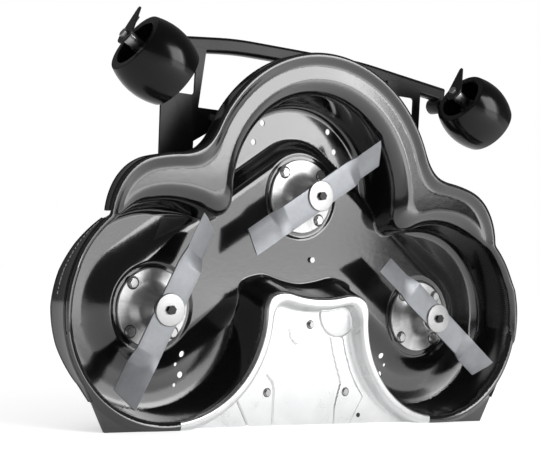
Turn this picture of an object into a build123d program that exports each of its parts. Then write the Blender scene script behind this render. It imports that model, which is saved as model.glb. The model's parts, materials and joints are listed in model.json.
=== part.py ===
"""Triple-spindle lawn mower deck, standing on its rear edge as it would lean on a bench.

X runs across the deck, Z runs from the rear edge up to the front, and Y is the depth
behind the cutting plane: the open underside faces -Y and the belt side faces +Y.
The origin is the middle of the rear edge, in the plane of the rim.
"""
import os
from math import acos, asin, atan2, cos, degrees, hypot, pi, radians, sin, sqrt, tan

from build123d import *

# Deck layout
spindle_span = 800.0          # between the two outer spindles
spindle_rise = 285.0          # centre spindle ahead of the outer pair
rear_setback = 265.0          # outer spindles above the rear edge
sheet = 3.5                   # pressed steel

# Rim outline
dome_r = 340.0
lobe_r = 264.0
shoulder_x = 574.0            # outer side of each shoulder
shoulder_top = 350.0          # shoulder's flat top above the outer spindles
shoulder_drop = 55.0          # fall of the shoulder's top towards its outer corner
shoulder_flat = 115.0         # from the dome to where that fall begins
shoulder_corner_r = 85.0
shoulder_knee_r = 150.0
dome_blend_r = 60.0
rear_corner_x = 554.0
lobe_exit_deg = 38.0          # where the straight rear flank leaves the lobe
bead_width = 10.0             # flat top of the rim
bead_slope = 16.0             # width of the slope from rim down to shelf
shelf_depth = 12.0            # shelf below the rim plane
lip_depth = 58.0              # turned edge behind the rim
lip_end_z = 95.0              # the lip stops above the rear corners
lip_notch = 14.0              # relief gap at each inside corner

# Blade chambers
chamber_r = 246.0
chamber_foot_r = 230.0        # wall radius where it meets the roof
chamber_depth = 127.0         # outer roofs
centre_depth = 142.0          # front roof
chamber_foot_fillet = 22.0
mouth_r = 36.0                # rolled edge between shelf and wall
mouth_keep = 40.0             # the rolled edge stays this far inside the rim
bridge_reach = 92.0           # opening between neighbouring chambers, past the spindle line

# Raised plateau that carries the spindles
plateau_depth = 103.0
plateau_r = 108.0
plateau_slope = 40.0          # degrees from the depth direction
seat_r = 104.0
seat_step = 3.0
plateau_tail_x = 128.0        # rear corner of the plateau, beside the baffle
plateau_tail_z = 40.0
plateau_tail_r = 26.0

# Baffle island between the outer chambers
island_top = 48.0             # above the outer spindles
island_draft = 20.0
island_flange = 9.0           # shell ledge left round the baffle
island_corner_r = 34.0

# Roof holes, measured from the spindles
roof_hole_r = 7.5
roof_small_hole_r = 4.5
rear_hole_in = 91.0           # from the outer spindle towards the middle
rear_hole_stagger = 7.0
rear_hole_first = 106.0
rear_hole_pitch = 24.0
front_holes = ((101.0, 173.0), (124.0, 124.0))   # from the centre spindle

# Spindle housing
flange_r = 91.0
flange_t = 6.0
flange_edge = 2.5
trumpet_r = 64.0
nose_r = 33.0
nose_depth = 42.0
boss_r = 40.0
boss_back = 160.0
boss_clearance = 0.5
housing_bore_r = 20.0
bearing_r = 26.0
bearing_w = 15.0
shaft_r = 12.5
running_gap = 0.05
housing_bolt_pcd_r = 77.5
housing_bolt_turn = 45.0
housing_bolt_r = 5.0
housing_bolt_af = 17.0
housing_bolt_head = 7.0

# Blade stack
blade_bolt_af = 19.0
blade_bolt_head = 8.0
blade_bolt_r = 6.0
blade_bolt_grip = 34.0
washer_r = 37.0
washer_t = 4.5
washer_front = 20.0
blade_t = 5.0
blade_w = 64.0
blade_tip_r = 233.0
blade_flat = 62.0             # half length of the flat middle
blade_twist_end = 112.0
blade_twist = 22.0
blade_tip_rake = 20.0
blade_lift = 6.0              # arms sit this much nearer the roof
blade_headings = {"left": 64.5, "centre": 33.7, "right": -36.0}
blade_bolt_turn = 12.0
washer_edge = 1.2
spacer_r = 26.0
spacer_gap = 0.5
stack_gap = 0.02

# Pulleys, belt and idler
pulley_r = 75.0
pulley_rim = 5.0
pulley_face = 24.0
pulley_web = 5.0
pulley_hub_r = 24.0
belt_depth_y = 178.0          # plane of the deck belt
groove_top = 17.0
groove_angle = 36.0
groove_depth = 13.0
groove_pitch = 24.0           # to the second groove of the centre pulley
pulley_holes = 5
pulley_hole_r = 8.0
belt_h = 9.0
belt_seat = 1.0               # belt back below the pulley's edge
belt_clearance = 0.4
shaft_thread_r = 10.0
nut_af = 30.0
nut_h = 12.0
idler_r = 36.0
idler_face = 26.0
idler_flange = 4.0
idler_along = 206.0           # from the left spindle along the span it presses
idler_push = 26.0             # how far the idler bends the belt inwards
idler_arm_l = 112.0
idler_tail_l = 52.0
idler_arm_w = 34.0
idler_arm_t = 6.0
idler_pin_r = 8.0
idler_pivot_foot_r = 18.0
idler_hub_r = 17.0
idler_standoff = 11.0         # arm to idler
idler_taper = 0.85
spring_pin_r = 3.5
spring_pin_h = 6.0
spring_lead = 18.0            # pin to the first coil
spring_wire_r = 1.8
spring_coil_r = 9.0
spring_turns = 9
spring_hook_turns = 0.3       # how far round the coil its hooks join
spring_length = 96.0

# Front bar, its plates and the casters
bar_h = 38.0
bar_d = 30.0
bar_corner = 9.0
bar_wall = 3.0
bar_mid_z = 898.0
bar_end_z = 866.0
bar_bend_x = 190.0
bar_bend_r = 900.0
plate_t = 6.0
plate_out_x = 395.0
plate_in_x = 301.0
plate_in_top_x = 279.0
plate_top_z = 878.0
plate_foot_z = 420.0
plate_foot_x = 385.0
plate_shelf_z = 765.0
window_in_x = 306.0
window_out_x = 372.0
window_top_z = 842.0
window_r = 8.0
tie_x = 232.0
tie_z0 = 655.0
tie_z1 = 738.0
tie_lap = 30.0
tie_edge = 20.0               # bolt to the tie plate's edges
tie_bolt_r = 5.0
tie_bolt_af = 15.0
tie_bolt_head = 6.0
pivot_x = 476.0
pivot_z = 836.0
sleeve_r = 21.0
sleeve_l = 44.0
stem_r = 12.5
stem_head_r = 15.5
stem_head_t = 6.0
caster_turn = 31.0            # both casters stand swivelled this much
caster_trail = 40.0
axle_front = -16.0            # depth of the wheel axle
wheel_r = 86.0
wheel_half_w = 62.0
wheel_end_r = 55.0
wheel_side_r = 72.0
wheel_dish_r = 50.0
wheel_hub_r = 22.0
wheel_hub_half = 34.0
wheel_web = 10.0
axle_r = 8.0
axle_bolt_af = 19.0
axle_bolt_head = 8.0
yoke_t = 7.0
yoke_arm_w = 48.0
yoke_gap = 8.0                # wheel end to yoke arm
yoke_crown_gap = 16.0
lock_plate_x = 88.0
lock_plate_t = 4.0
lock_plate_l = 76.0
lock_plate_w = 46.0
lock_tip_y = 20.0
lock_tip_r = 5.0
lock_flange = 14.0
lock_flange_share = 0.6
spacer_tube_r = 14.0

# Rear baffle
baffle_t = 2.0
baffle_half_w = 368.0
baffle_rim_w = 25.0
baffle_rim_r = 9.0
baffle_depth = 37.0
baffle_emboss = 3.0
baffle_emboss_edge = 14.0
baffle_emboss_x = 84.0
baffle_edge_gap = 0.6
baffle_bolts_at = ((0.0, 240.0), (-116.0, 78.0), (116.0, 78.0))
baffle_bolt_af = 13.0
baffle_bolt_head = 6.0
baffle_bolt_r = 4.0
baffle_hole_at = (130.0, 62.0)
baffle_hole_r = 5.0
screw_at = (41.0, 396.0)
gap_tolerance = 0.01
cut_over = 1.0                # cuts run past the faces they open

# Rear hangers
hanger_in = 40.0              # from the outer spindle towards the middle
hanger_t = 6.0
hanger_base_z0 = 86.0
hanger_base_z1 = 176.0
hanger_base_w = 46.0
hanger_foot_back = 150.0
hanger_back = 210.0
hanger_pin_r = 8.0
hanger_pin_z = 40.0
hanger_pin_back = 182.0
hanger_pin_edge = 24.0

# Values that follow
outer_z = rear_setback
centre_z = rear_setback + spindle_rise
spindles = {
    "left": (-spindle_span / 2, outer_z),
    "centre": (0.0, centre_z),
    "right": (spindle_span / 2, outer_z),
}
seat_y = plateau_depth + seat_step
flange_y = seat_y - flange_t
roof_back = chamber_depth + sheet
shelf_z = outer_z + shoulder_top
shoulder_knee_x = dome_r + shoulder_flat
blade_y = washer_front + washer_t
hub_y = blade_y + blade_t
pulley_back = belt_depth_y + pulley_face / 2
plate_y = roof_back
bar_y = plate_y + plate_t + bar_d / 2
hanger_x = spindle_span / 2 - hanger_in
nodes = {}


def slab(sketch, y0, y1):
    """Extrude a sketch drawn in (x, z) from depth y0 to depth y1."""
    plane = Plane(origin=(0, y0, 0), x_dir=(1, 0, 0), z_dir=(0, -1, 0))
    return extrude(plane * sketch, amount=y0 - y1)


def spun(outline, at=(0.0, 0.0)):
    """Revolve an outline drawn in (radius, depth) about the depth axis through (x, z)."""
    return Pos(at[0], 0, at[1]) * revolve(make_face(outline), Axis.Y)


def polygon(*points):
    return make_face(Polyline(*points, close=True))


def rod(r, y0, y1, at=(0.0, 0.0)):
    return slab(Pos(*at) * Circle(r), y0, y1)


def hexagon(af, y0, y1, at=(0.0, 0.0), turn=0.0):
    return slab(Pos(*at) * Rot(0, 0, turn) * RegularPolygon(af / 2, 6, major_radius=False), y0, y1)


def mirrored(shape):
    return mirror(shape, Plane.YZ)


def rim_outline(inset):
    """Outline of the deck in (x, z), moved inwards by inset."""
    dome = Pos(0, centre_z) * Circle(dome_r - inset)
    side_x = shoulder_x - inset
    top = shelf_z - inset
    low = top - shoulder_drop
    shoulder = polygon((0, outer_z), (0, top), (shoulder_knee_x, top), (side_x, low), (side_x, outer_z))
    fall = atan2(shoulder_drop, side_x - shoulder_knee_x)
    knee = shoulder.vertices().sort_by_distance((shoulder_knee_x, top))[0]
    shoulder = fillet(knee, shoulder_knee_r - inset)
    straight = shoulder_drop / sin(fall) - (shoulder_knee_r - inset) * tan(fall / 2) - gap_tolerance
    corner = shoulder.vertices().sort_by_distance((side_x, low))[0]
    shoulder = fillet(corner, min(shoulder_corner_r - inset, straight / tan((pi / 2 - fall) / 2)))
    lobe = Pos(spindle_span / 2, outer_z) * Circle(lobe_r - inset)
    exit_a = radians(lobe_exit_deg)
    leave = (spindle_span / 2 + (lobe_r - inset) * cos(exit_a), outer_z - (lobe_r - inset) * sin(exit_a))
    rear = polygon((0, outer_z), (spindle_span / 2, outer_z), leave, (rear_corner_x - inset, inset),
                   (0, inset))
    half = dome + shoulder + lobe + rear
    outline = half + mirror(half, Plane.YZ)
    blends = [v for v in outline.vertices() if abs(v.Y - top) < gap_tolerance and abs(v.X) < dome_r]
    return fillet(blends, dome_blend_r + inset)


def strap(a, ra, b, rb):
    """Outline round two discs, with straight tangents between them."""
    run = hypot(b[0] - a[0], b[1] - a[1])
    heading = atan2(b[1] - a[1], b[0] - a[0])
    lean = acos((ra - rb) / run)
    up, down = heading + lean, heading - lean
    corners = [(c[0] + r * cos(t), c[1] + r * sin(t))
               for c, r, t in ((a, ra, up), (a, ra, down), (b, rb, down), (b, rb, up))]
    return polygon(*corners) + Pos(*a) * Circle(ra) + Pos(*b) * Circle(rb)


def at_depth(sketch, y):
    plane = Plane(origin=(0, y, 0), x_dir=(1, 0, 0), z_dir=(0, -1, 0))
    return (plane * sketch).faces()[0]


def between(front, y0, back, y1):
    """Solid between two outlines at two depths, with straight flanks."""
    return loft([at_depth(front, y0), at_depth(back, y1)], ruled=True)


def chamber(depth, grow, at):
    """Hollow of one blade chamber, grown by a sheet thickness for its outer skin."""
    top_r = chamber_r + grow
    foot_r = chamber_foot_r + grow
    floor = depth + grow
    front = grow - cut_over
    wall = polygon((0, front), (top_r, front), (top_r, shelf_depth), (foot_r, floor), (0, floor))
    foot = wall.vertices().sort_by_distance((foot_r, floor))[0]
    return Pos(at[0], 0, at[1]) * revolve(fillet(foot, chamber_foot_fillet + grow), Axis.Y)


def mouth(grow, at):
    """Hollow of the rolled edge where the shelf turns down into a chamber."""
    front, inner = grow - cut_over, chamber_r - cut_over
    wide, deep = chamber_r + mouth_r, shelf_depth + mouth_r
    corner = polygon((inner, front), (wide, front), (wide, deep), (inner, deep))
    return spun(corner - Pos(wide, deep) * Circle(mouth_r - grow), at)


def land(reach):
    """Outline of the plateau, moved outwards by reach."""
    r = plateau_r + reach
    left, centre, right = spindles.values()
    tail = (plateau_tail_x, outer_z + plateau_tail_z)
    tail_r = plateau_tail_r + reach
    side = strap(centre, r, right, r) + strap(right, r, tail, tail_r)
    return side + mirror(side, Plane.YZ) + polygon((-tail[0], tail[1]), tail, right, centre, left)


def plateau(grow):
    """Raised land round the three spindles, as the solid that stands up into the hollow."""
    top = plateau_depth + grow
    depth = centre_depth + 2 * sheet - top
    rise = between(land(-grow), top, land(depth * tan(radians(plateau_slope)) - grow), top + depth)
    for at in spindles.values():
        rise -= rod(seat_r + grow, top - cut_over, seat_y + grow, at)
    return rise


def bridge(grow):
    """Hollow over the middle of the plateau, closed at the rear by the sloping island wall."""
    half = spindle_span / 2
    out_x = (bridge_reach + grow) * spindle_rise / hypot(half, spindle_rise)
    out_z = (bridge_reach + grow) * half / hypot(half, spindle_rise)

    def field(lift):
        base = outer_z + island_top + lift - grow
        return polygon((-half, base), (half, base), (half + out_x, outer_z + out_z + lift),
                       (out_x, centre_z + out_z), (-out_x, centre_z + out_z),
                       (-half - out_x, outer_z + out_z + lift))
    depth = seat_y + grow
    return between(field(0), grow - cut_over, field(depth * tan(radians(island_draft))), depth)


def hollow(grow):
    """Everything the blades sweep and the space round them, grown for the outer skin."""
    space = bridge(grow)
    rolled = Part()
    for name, at in spindles.items():
        space += chamber(centre_depth if name == "centre" else chamber_depth, grow, at)
        rolled += mouth(grow, at)
    front = Pos(0, outer_z + island_top + dome_r) * Rectangle(4 * dome_r, 2 * dome_r)
    shelf = slab(rim_outline(mouth_keep - grow) & front, grow - cut_over, shelf_depth + mouth_r)
    return space + (rolled & shelf) - plateau(grow)


def island_outline(inset):
    """Area between the outer chambers and behind the plateau, where the baffle sits."""
    top = outer_z + island_top - inset
    wide = baffle_half_w
    area = polygon((-wide, 0), (wide, 0), (wide, top), (-wide, top))
    for side in ("left", "right"):
        area -= Pos(*spindles[side]) * Circle(chamber_r + inset)
    middle = area.faces().sort_by_distance((0, 0))[0]
    tips = [v for v in middle.vertices() if v.Y > outer_z]
    return fillet(tips, island_corner_r - inset / 2)


def roof_holes():
    """Plain holes through the roofs: four behind each outer spindle, two each side in front."""
    spots = []
    for k in range(4):
        stagger = rear_hole_stagger if k % 2 else -rear_hole_stagger
        r = roof_small_hole_r if k % 2 else roof_hole_r
        x = spindle_span / 2 - rear_hole_in + stagger
        spots.append((x, outer_z - rear_hole_first - k * rear_hole_pitch, r))
    spots += [(x, centre_z + z, roof_hole_r) for x, z in front_holes]
    drills = Part()
    for x, z, r in spots:
        for side in (-1, 1):
            drills += rod(r, plateau_depth, centre_depth + 2 * sheet, (side * x, z))
    return drills


def housing_bolt_spots(at):
    for k in range(4):
        a = radians(housing_bolt_turn + 90 * k)
        yield at[0] + housing_bolt_pcd_r * cos(a), at[1] + housing_bolt_pcd_r * sin(a)


def deck_shell():
    back = shelf_depth + sheet
    skin = hollow(sheet)
    shift = sheet * hypot(bead_slope, shelf_depth) / shelf_depth
    drop = bead_slope * sheet / shelf_depth
    inner_edge = bead_width + bead_slope
    under = between(rim_outline(bead_width - shift), 0, rim_outline(inner_edge - shift + drop), back)
    groove = slab(rim_outline(sheet), sheet, back + cut_over) - under - skin
    lip = slab(rim_outline(0), 0, lip_depth) - slab(rim_outline(sheet), -cut_over, lip_depth + cut_over)
    lip -= slab(Rectangle(4 * spindle_span, 2 * lip_end_z), -cut_over, lip_depth + cut_over)
    corner_z = outer_z + sqrt(lobe_r ** 2 - (shoulder_x - spindle_span / 2) ** 2)
    for x in (-shoulder_x, shoulder_x):
        lip -= slab(Pos(x, corner_z) * Circle(lip_notch), sheet, lip_depth + cut_over)
    shell = slab(rim_outline(0), 0, back) - groove + skin + lip
    shell -= between(rim_outline(bead_width), -gap_tolerance, rim_outline(inner_edge), shelf_depth)
    shell -= hollow(0)
    shell -= slab(island_outline(island_flange), -cut_over, back + cut_over)
    shell -= slab(island_outline(0), -cut_over, shelf_depth)
    shell -= roof_holes()
    shell -= rod(baffle_bolt_r + stack_gap, plateau_depth - cut_over, seat_y + sheet, screw_at)
    for at in spindles.values():
        shell -= rod(boss_r + boss_clearance, plateau_depth, centre_depth, at)
        for spot in housing_bolt_spots(at):
            shell -= rod(housing_bolt_r + boss_clearance, plateau_depth, centre_depth, spot)
    return shell


def rear_baffle():
    """Bright pressed panel between the outer chambers, with a rounded rim on three sides."""
    edge = baffle_edge_gap
    inner = edge + baffle_rim_w
    deep = baffle_depth + baffle_t

    def bead(gap, top, radius):
        ring = slab(island_outline(edge + gap), top, shelf_depth)
        ring -= slab(island_outline(inner - gap), top - cut_over, shelf_depth + cut_over)
        tops = [e for e in ring.edges() if abs(e.center().Y - top) < gap_tolerance
                and e.center().Z > 0 and abs(e.center().X) < baffle_half_w - cut_over]
        return fillet(tops, radius)
    panel = slab(island_outline(inner - baffle_t), shelf_depth - baffle_rim_r, deep)
    panel -= slab(island_outline(inner), 0, baffle_depth)
    raised = island_outline(inner + baffle_emboss_edge) & Rectangle(2 * baffle_emboss_x, 4 * rear_setback)
    panel += slab(raised, baffle_depth - baffle_emboss, baffle_depth)
    panel -= slab(offset(raised, -baffle_t), baffle_depth - baffle_emboss + baffle_t, deep + cut_over)
    panel += bead(0, 0, baffle_rim_r) - bead(baffle_t, baffle_t, baffle_rim_r - baffle_t)
    for x, z in baffle_bolts_at:
        panel -= rod(baffle_bolt_r + stack_gap, 0, deep + cut_over, (x, z))
    return panel - rod(baffle_hole_r, 0, deep + cut_over, baffle_hole_at)


def through_bolt(at, af, head, r, front, grip):
    """Hex head in front of a face, shank through the joint and a nut behind it."""
    bolt = hexagon(af, front - head, front, at) + rod(r, front, front + grip + head + r, at)
    return bolt + hexagon(af, front + grip, front + grip + head, at)


def baffle_bolts():
    group = Part()
    for x, z in baffle_bolts_at:
        raised = baffle_emboss if abs(x) < baffle_emboss_x else 0
        front = baffle_depth - raised
        group += through_bolt((x, z), baffle_bolt_af, baffle_bolt_head, baffle_bolt_r, front, baffle_t)
    return group


def spindle_housing(at):
    """Cast housing: bolted flange, trumpet nose towards the blade, boss through the roof."""
    low = nose_depth + bearing_w
    high = boss_back - bearing_w
    nose = Polyline((housing_bore_r, low), (bearing_r, low), (bearing_r, nose_depth),
                    (nose_r - flange_edge, nose_depth), (nose_r, nose_depth + flange_edge),
                    (nose_r, low - flange_edge))
    flare = Bezier((nose_r, low - flange_edge), (nose_r, flange_y - flange_t), (trumpet_r, flange_y))
    rest = Polyline((trumpet_r, flange_y), (flange_r - flange_edge, flange_y),
                    (flange_r, flange_y + flange_edge), (flange_r, seat_y), (boss_r, seat_y),
                    (boss_r, boss_back), (bearing_r, boss_back), (bearing_r, high),
                    (housing_bore_r, high), (housing_bore_r, low))
    body = spun(nose + flare + rest, at)
    for spot in housing_bolt_spots(at):
        body -= rod(housing_bolt_r + stack_gap, flange_y - cut_over, seat_y + cut_over, spot)
    return body


def ring(r0, r1, y0, y1, at):
    return rod(r1, y0, y1, at) - rod(r0, y0 - cut_over, y1 + cut_over, at)


def housing_bolts():
    group = Part()
    for at in spindles.values():
        for spot in housing_bolt_spots(at):
            group += through_bolt(spot, housing_bolt_af, housing_bolt_head, housing_bolt_r, flange_y,
                                  flange_t + sheet)
    return group


def bearings(at):
    bore = shaft_r + running_gap
    pair = ring(bore, bearing_r, nose_depth, nose_depth + bearing_w, at)
    return pair + ring(bore, bearing_r, boss_back - bearing_w, boss_back, at)


def groove_count(name):
    return 2 if name == "centre" else 1


def hub_back(name):
    return pulley_back + (groove_count(name) - 1) * groove_pitch


def spindle_shaft(name, at):
    hole = blade_bolt_r + stack_gap
    bottom = washer_front + blade_bolt_grip + cut_over
    step = hub_back(name) - flange_edge
    end = hub_back(name) + nut_h + flange_edge
    return spun(Polyline((hole, hub_y), (shaft_r, hub_y), (shaft_r, step), (shaft_thread_r, step),
                         (shaft_thread_r, end), (0, end), (0, bottom), (hole, bottom), close=True), at)


def spindle_spacer(at):
    return ring(shaft_r + stack_gap, spacer_r, hub_y, nose_depth - spacer_gap, at)


def blade(at, heading):
    """Flat in the middle, then each arm twists so that its trailing edge lifts."""
    def section(x, turn, lift):
        a = radians(turn)
        middle = (x, blade_y + blade_t / 2 + lift, 0)
        plane = Plane(origin=middle, x_dir=(0, -sin(a), cos(a)), z_dir=(1, 0, 0))
        return plane * Rectangle(blade_w, blade_t)
    stations = ((blade_tip_r, blade_twist, blade_lift), (blade_twist_end, blade_twist, blade_lift),
                (blade_flat, 0, 0))
    arms = [section(-x, -turn, lift) for x, turn, lift in stations]
    arms += [section(x, turn, lift) for x, turn, lift in reversed(stations)]
    bar = loft(arms, ruled=True) & rod(blade_tip_r, 0, plateau_depth)
    half = blade_w
    tip = polygon((blade_tip_r, half / 2), (blade_tip_r + half, half), (blade_tip_r + half, -half),
                  (blade_tip_r - 1.5 * blade_tip_rake, -half))
    for turn in (0, 180):
        bar -= Rot(0, turn, 0) * slab(tip, 0, plateau_depth)
    bar -= rod(blade_bolt_r + stack_gap, 0, plateau_depth)
    return Pos(at[0], 0, at[1]) * Rot(0, -heading, 0) * bar


def blade_washer(at):
    bore = blade_bolt_r + stack_gap
    back = washer_front + washer_t
    return spun(Polyline((bore, washer_front), (washer_r - washer_edge, washer_front),
                         (washer_r, washer_front + washer_edge), (washer_r, back), (bore, back),
                         close=True), at)


def blade_bolt(at):
    head = hexagon(blade_bolt_af, washer_front - blade_bolt_head, washer_front, at, blade_bolt_turn)
    return head + rod(blade_bolt_r, washer_front, washer_front + blade_bolt_grip, at)


def groove_half(r):
    """Half width of a belt groove at radius r."""
    return groove_top / 2 - (pulley_r - r) * tan(radians(groove_angle / 2))


def spindle_pulley(name, at):
    bore = shaft_r + stack_gap
    rim_r = pulley_r - groove_depth - pulley_rim
    base_r = pulley_r - groove_depth
    front = belt_depth_y - pulley_face / 2
    back = hub_back(name)
    web0, web1 = belt_depth_y - pulley_web / 2, belt_depth_y + pulley_web / 2
    points = [(bore, boss_back + spacer_gap), (pulley_hub_r, boss_back + spacer_gap), (pulley_hub_r, web0),
              (rim_r, web0), (rim_r, front), (pulley_r, front)]
    for k in range(groove_count(name)):
        y = belt_depth_y + k * groove_pitch
        points += [(pulley_r, y - groove_half(pulley_r)), (base_r, y - groove_half(base_r)),
                   (base_r, y + groove_half(base_r)), (pulley_r, y + groove_half(pulley_r))]
    points += [(pulley_r, back), (rim_r, back), (rim_r, web1), (pulley_hub_r, web1), (pulley_hub_r, back),
               (bore, back)]
    wheel = spun(Polyline(*points, close=True), at)
    for k in range(pulley_holes):
        a = 2 * pi * k / pulley_holes
        r = (rim_r + pulley_hub_r) / 2
        wheel -= rod(pulley_hole_r, front, back, (at[0] + r * cos(a), at[1] + r * sin(a)))
    return wheel


def pulley_nut(name, at):
    y0 = hub_back(name)
    bore = rod(shaft_thread_r + stack_gap, y0 - cut_over, y0 + nut_h + cut_over, at)
    return hexagon(nut_af, y0, y0 + nut_h, at) - bore


def span_frame():
    """Unit vectors along the left to centre span and outwards from it, with the span's length."""
    left, centre = spindles["left"], spindles["centre"]
    run = hypot(centre[0] - left[0], centre[1] - left[1])
    along = ((centre[0] - left[0]) / run, (centre[1] - left[1]) / run)
    return along, (-along[1], along[0]), run


def span_point(s, d):
    """Point s along the left to centre span and d outwards from the spindle line."""
    along, out, _ = span_frame()
    left = spindles["left"]
    return left[0] + s * along[0] + d * out[0], left[1] + s * along[1] + d * out[1]


belt_r = pulley_r - belt_seat - belt_h / 2
idler_path_r = idler_r + belt_h / 2 + belt_clearance
idler_s = idler_along
idler_d = belt_r + idler_path_r - idler_push
idler_at = span_point(idler_s, idler_d)
idler_pivot_at = span_point(idler_s + idler_arm_l, idler_d)
tail_at = span_point(idler_s + idler_arm_l, idler_d - idler_tail_l)
anchor_at = span_point(idler_s + idler_arm_l + spring_length, idler_d - idler_tail_l)
arm_y0 = belt_depth_y - idler_face / 2 - idler_standoff - idler_arm_t
arm_y1 = arm_y0 + idler_arm_t
spring_y = arm_y1 + spring_wire_r + spacer_gap


def drive_belt():
    """V-belt round the three pulleys, bent inwards by the idler on its back."""
    stops = ((spindles["left"], belt_r), (spindles["right"], belt_r), (spindles["centre"], belt_r),
             (idler_at, -idler_path_r))
    runs = []
    for (a, ra), (b, rb) in zip(stops, stops[1:] + stops[:1]):
        reach = hypot(b[0] - a[0], b[1] - a[1])
        heading = atan2(b[1] - a[1], b[0] - a[0]) + asin((ra - rb) / reach)
        side = (sin(heading), -cos(heading))
        runs.append(((a[0] + ra * side[0], a[1] + ra * side[1]), (b[0] + rb * side[0], b[1] + rb * side[1]),
                     heading))

    def lifted(p):
        return p[0], belt_depth_y, p[1]
    path = []
    for k, (start, end, heading) in enumerate(runs):
        path.append(Line(lifted(start), lifted(end)))
        centre, r = stops[(k + 1) % len(stops)]
        after = runs[(k + 1) % len(runs)]
        turn = (after[2] - heading) % (2 * pi) if r > 0 else -((heading - after[2]) % (2 * pi))
        mid = heading + turn / 2
        top = (centre[0] + r * sin(mid), centre[1] - r * cos(mid))
        path.append(ThreePointArc(lifted(end), lifted(top), lifted(after[0])))
    start, _, heading = runs[0]
    outer_w = groove_half(pulley_r - belt_seat) - belt_clearance
    inner_w = groove_half(pulley_r - belt_seat - belt_h) - belt_clearance
    plane = Plane(origin=lifted(start), x_dir=(sin(heading), 0, -cos(heading)),
                  z_dir=(cos(heading), 0, sin(heading)))
    half = belt_h / 2
    section = polygon((half, outer_w), (half, -outer_w), (-half, -inner_w), (-half, inner_w))
    return sweep(plane * section, path=Wire(path))


def idler_arm():
    """Bell crank: one arm carries the idler's axle, the short tail takes the spring."""
    wide = idler_arm_w / 2
    narrow = wide * idler_taper
    plate = slab(strap(idler_pivot_at, wide, idler_at, narrow) + strap(idler_pivot_at, wide, tail_at, narrow),
                 arm_y0, arm_y1)
    plate -= rod(idler_pin_r + running_gap, arm_y0 - cut_over, arm_y1 + cut_over, idler_pivot_at)
    plate += rod(spring_pin_r, arm_y1, spring_y + spring_pin_h, tail_at)
    back = belt_depth_y + idler_face / 2
    plate += rod(idler_pin_r + idler_flange, arm_y1, arm_y1 + idler_standoff - spacer_gap, idler_at)
    plate += rod(idler_pin_r, arm_y1, back + spacer_gap, idler_at)
    return plate + hexagon(axle_bolt_af, back + spacer_gap, back + spacer_gap + idler_arm_t, idler_at)


def idler_pulley():
    half = idler_face / 2
    edge_r = idler_r + idler_flange
    bore = idler_pin_r + running_gap
    flat = half - idler_flange
    points = [(bore, -half), (idler_hub_r, -half), (idler_hub_r, -pulley_web / 2),
              (idler_r - pulley_rim, -pulley_web / 2), (idler_r - pulley_rim, -half), (edge_r, -half),
              (idler_r, -flat), (idler_r, flat), (edge_r, half), (idler_r - pulley_rim, half),
              (idler_r - pulley_rim, pulley_web / 2), (idler_hub_r, pulley_web / 2), (idler_hub_r, half),
              (bore, half)]
    return spun(Polyline(*[(r, belt_depth_y + y) for r, y in points], close=True), idler_at)


def idler_pivot():
    foot = plateau_depth + sheet
    post = rod(idler_pivot_foot_r, foot, foot + idler_arm_t, idler_pivot_at)
    post += rod(idler_pin_r + idler_flange, foot, arm_y0 - spacer_gap, idler_pivot_at)
    post += rod(idler_pin_r, foot, arm_y1 + spacer_gap, idler_pivot_at)
    head_y = arm_y1 + spacer_gap
    return post + hexagon(axle_bolt_af, head_y, head_y + idler_arm_t, idler_pivot_at)


def spring_anchor():
    foot = seat_y + sheet
    post = rod(idler_pin_r + idler_flange, foot, foot + idler_arm_t, anchor_at)
    return post + rod(spring_pin_r, foot, spring_y + spring_pin_h, anchor_at)


def tension_spring():
    """Extension spring between a pin on the arm's tail and its anchor, with an eye at each end."""
    body_l = spring_length - 2 * spring_lead
    coil = Helix(pitch=body_l / spring_turns, height=body_l, radius=spring_coil_r,
                 center=(spring_lead, 0, 0), direction=(1, 0, 0))
    wire = sweep(Plane(coil @ 0, z_dir=coil % 0) * Circle(spring_wire_r), path=coil, is_frenet=True)
    eye_r = spring_pin_r + spring_wire_r + spacer_gap
    seat = spring_hook_turns / spring_turns
    for x, way, end in ((0, 1, coil @ seat), (spring_length, -1, coil @ (1 - seat))):
        root = Vector(x + way * eye_r, 0, 0)
        eye = Pos(x, 0, 0) * Rot(90, 0, 0) * Torus(eye_r, spring_wire_r)
        link = extrude(Plane(root, z_dir=end - root) * Circle(spring_wire_r), amount=(end - root).length)
        wire += eye + link
    along, _, _ = span_frame()
    heading = Rot(0, -degrees(atan2(along[1], along[0])), 0)
    first_coil_clears_arm = Rot(180, 0, 0)
    return Pos(tail_at[0], spring_y, tail_at[1]) * heading * first_coil_clears_arm * wire


def front_bar():
    """Bent tube across the front, with an upright sleeve at each end for a caster."""
    end_x = pivot_x + sleeve_r / 2
    path = FilletPolyline((-end_x, bar_y, bar_end_z), (-bar_bend_x, bar_y, bar_mid_z),
                          (bar_bend_x, bar_y, bar_mid_z), (end_x, bar_y, bar_end_z), radius=bar_bend_r)
    plane = Plane(path @ 0, x_dir=(0, 1, 0), z_dir=path % 0)
    bar = sweep(plane * RectangleRounded(bar_d, bar_h, bar_corner), path=path)
    core = sweep(plane * RectangleRounded(bar_d - 2 * bar_wall, bar_h - 2 * bar_wall, bar_corner - bar_wall),
                 path=path)
    y0, y1 = bar_y - sleeve_l / 2, bar_y + sleeve_l / 2
    bar -= core
    for x in (-pivot_x, pivot_x):
        bar += rod(sleeve_r, y0, y1, (x, pivot_z))
        bar -= rod(stem_r + running_gap, y0 - cut_over, y1 + cut_over, (x, pivot_z))
    return bar


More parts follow.
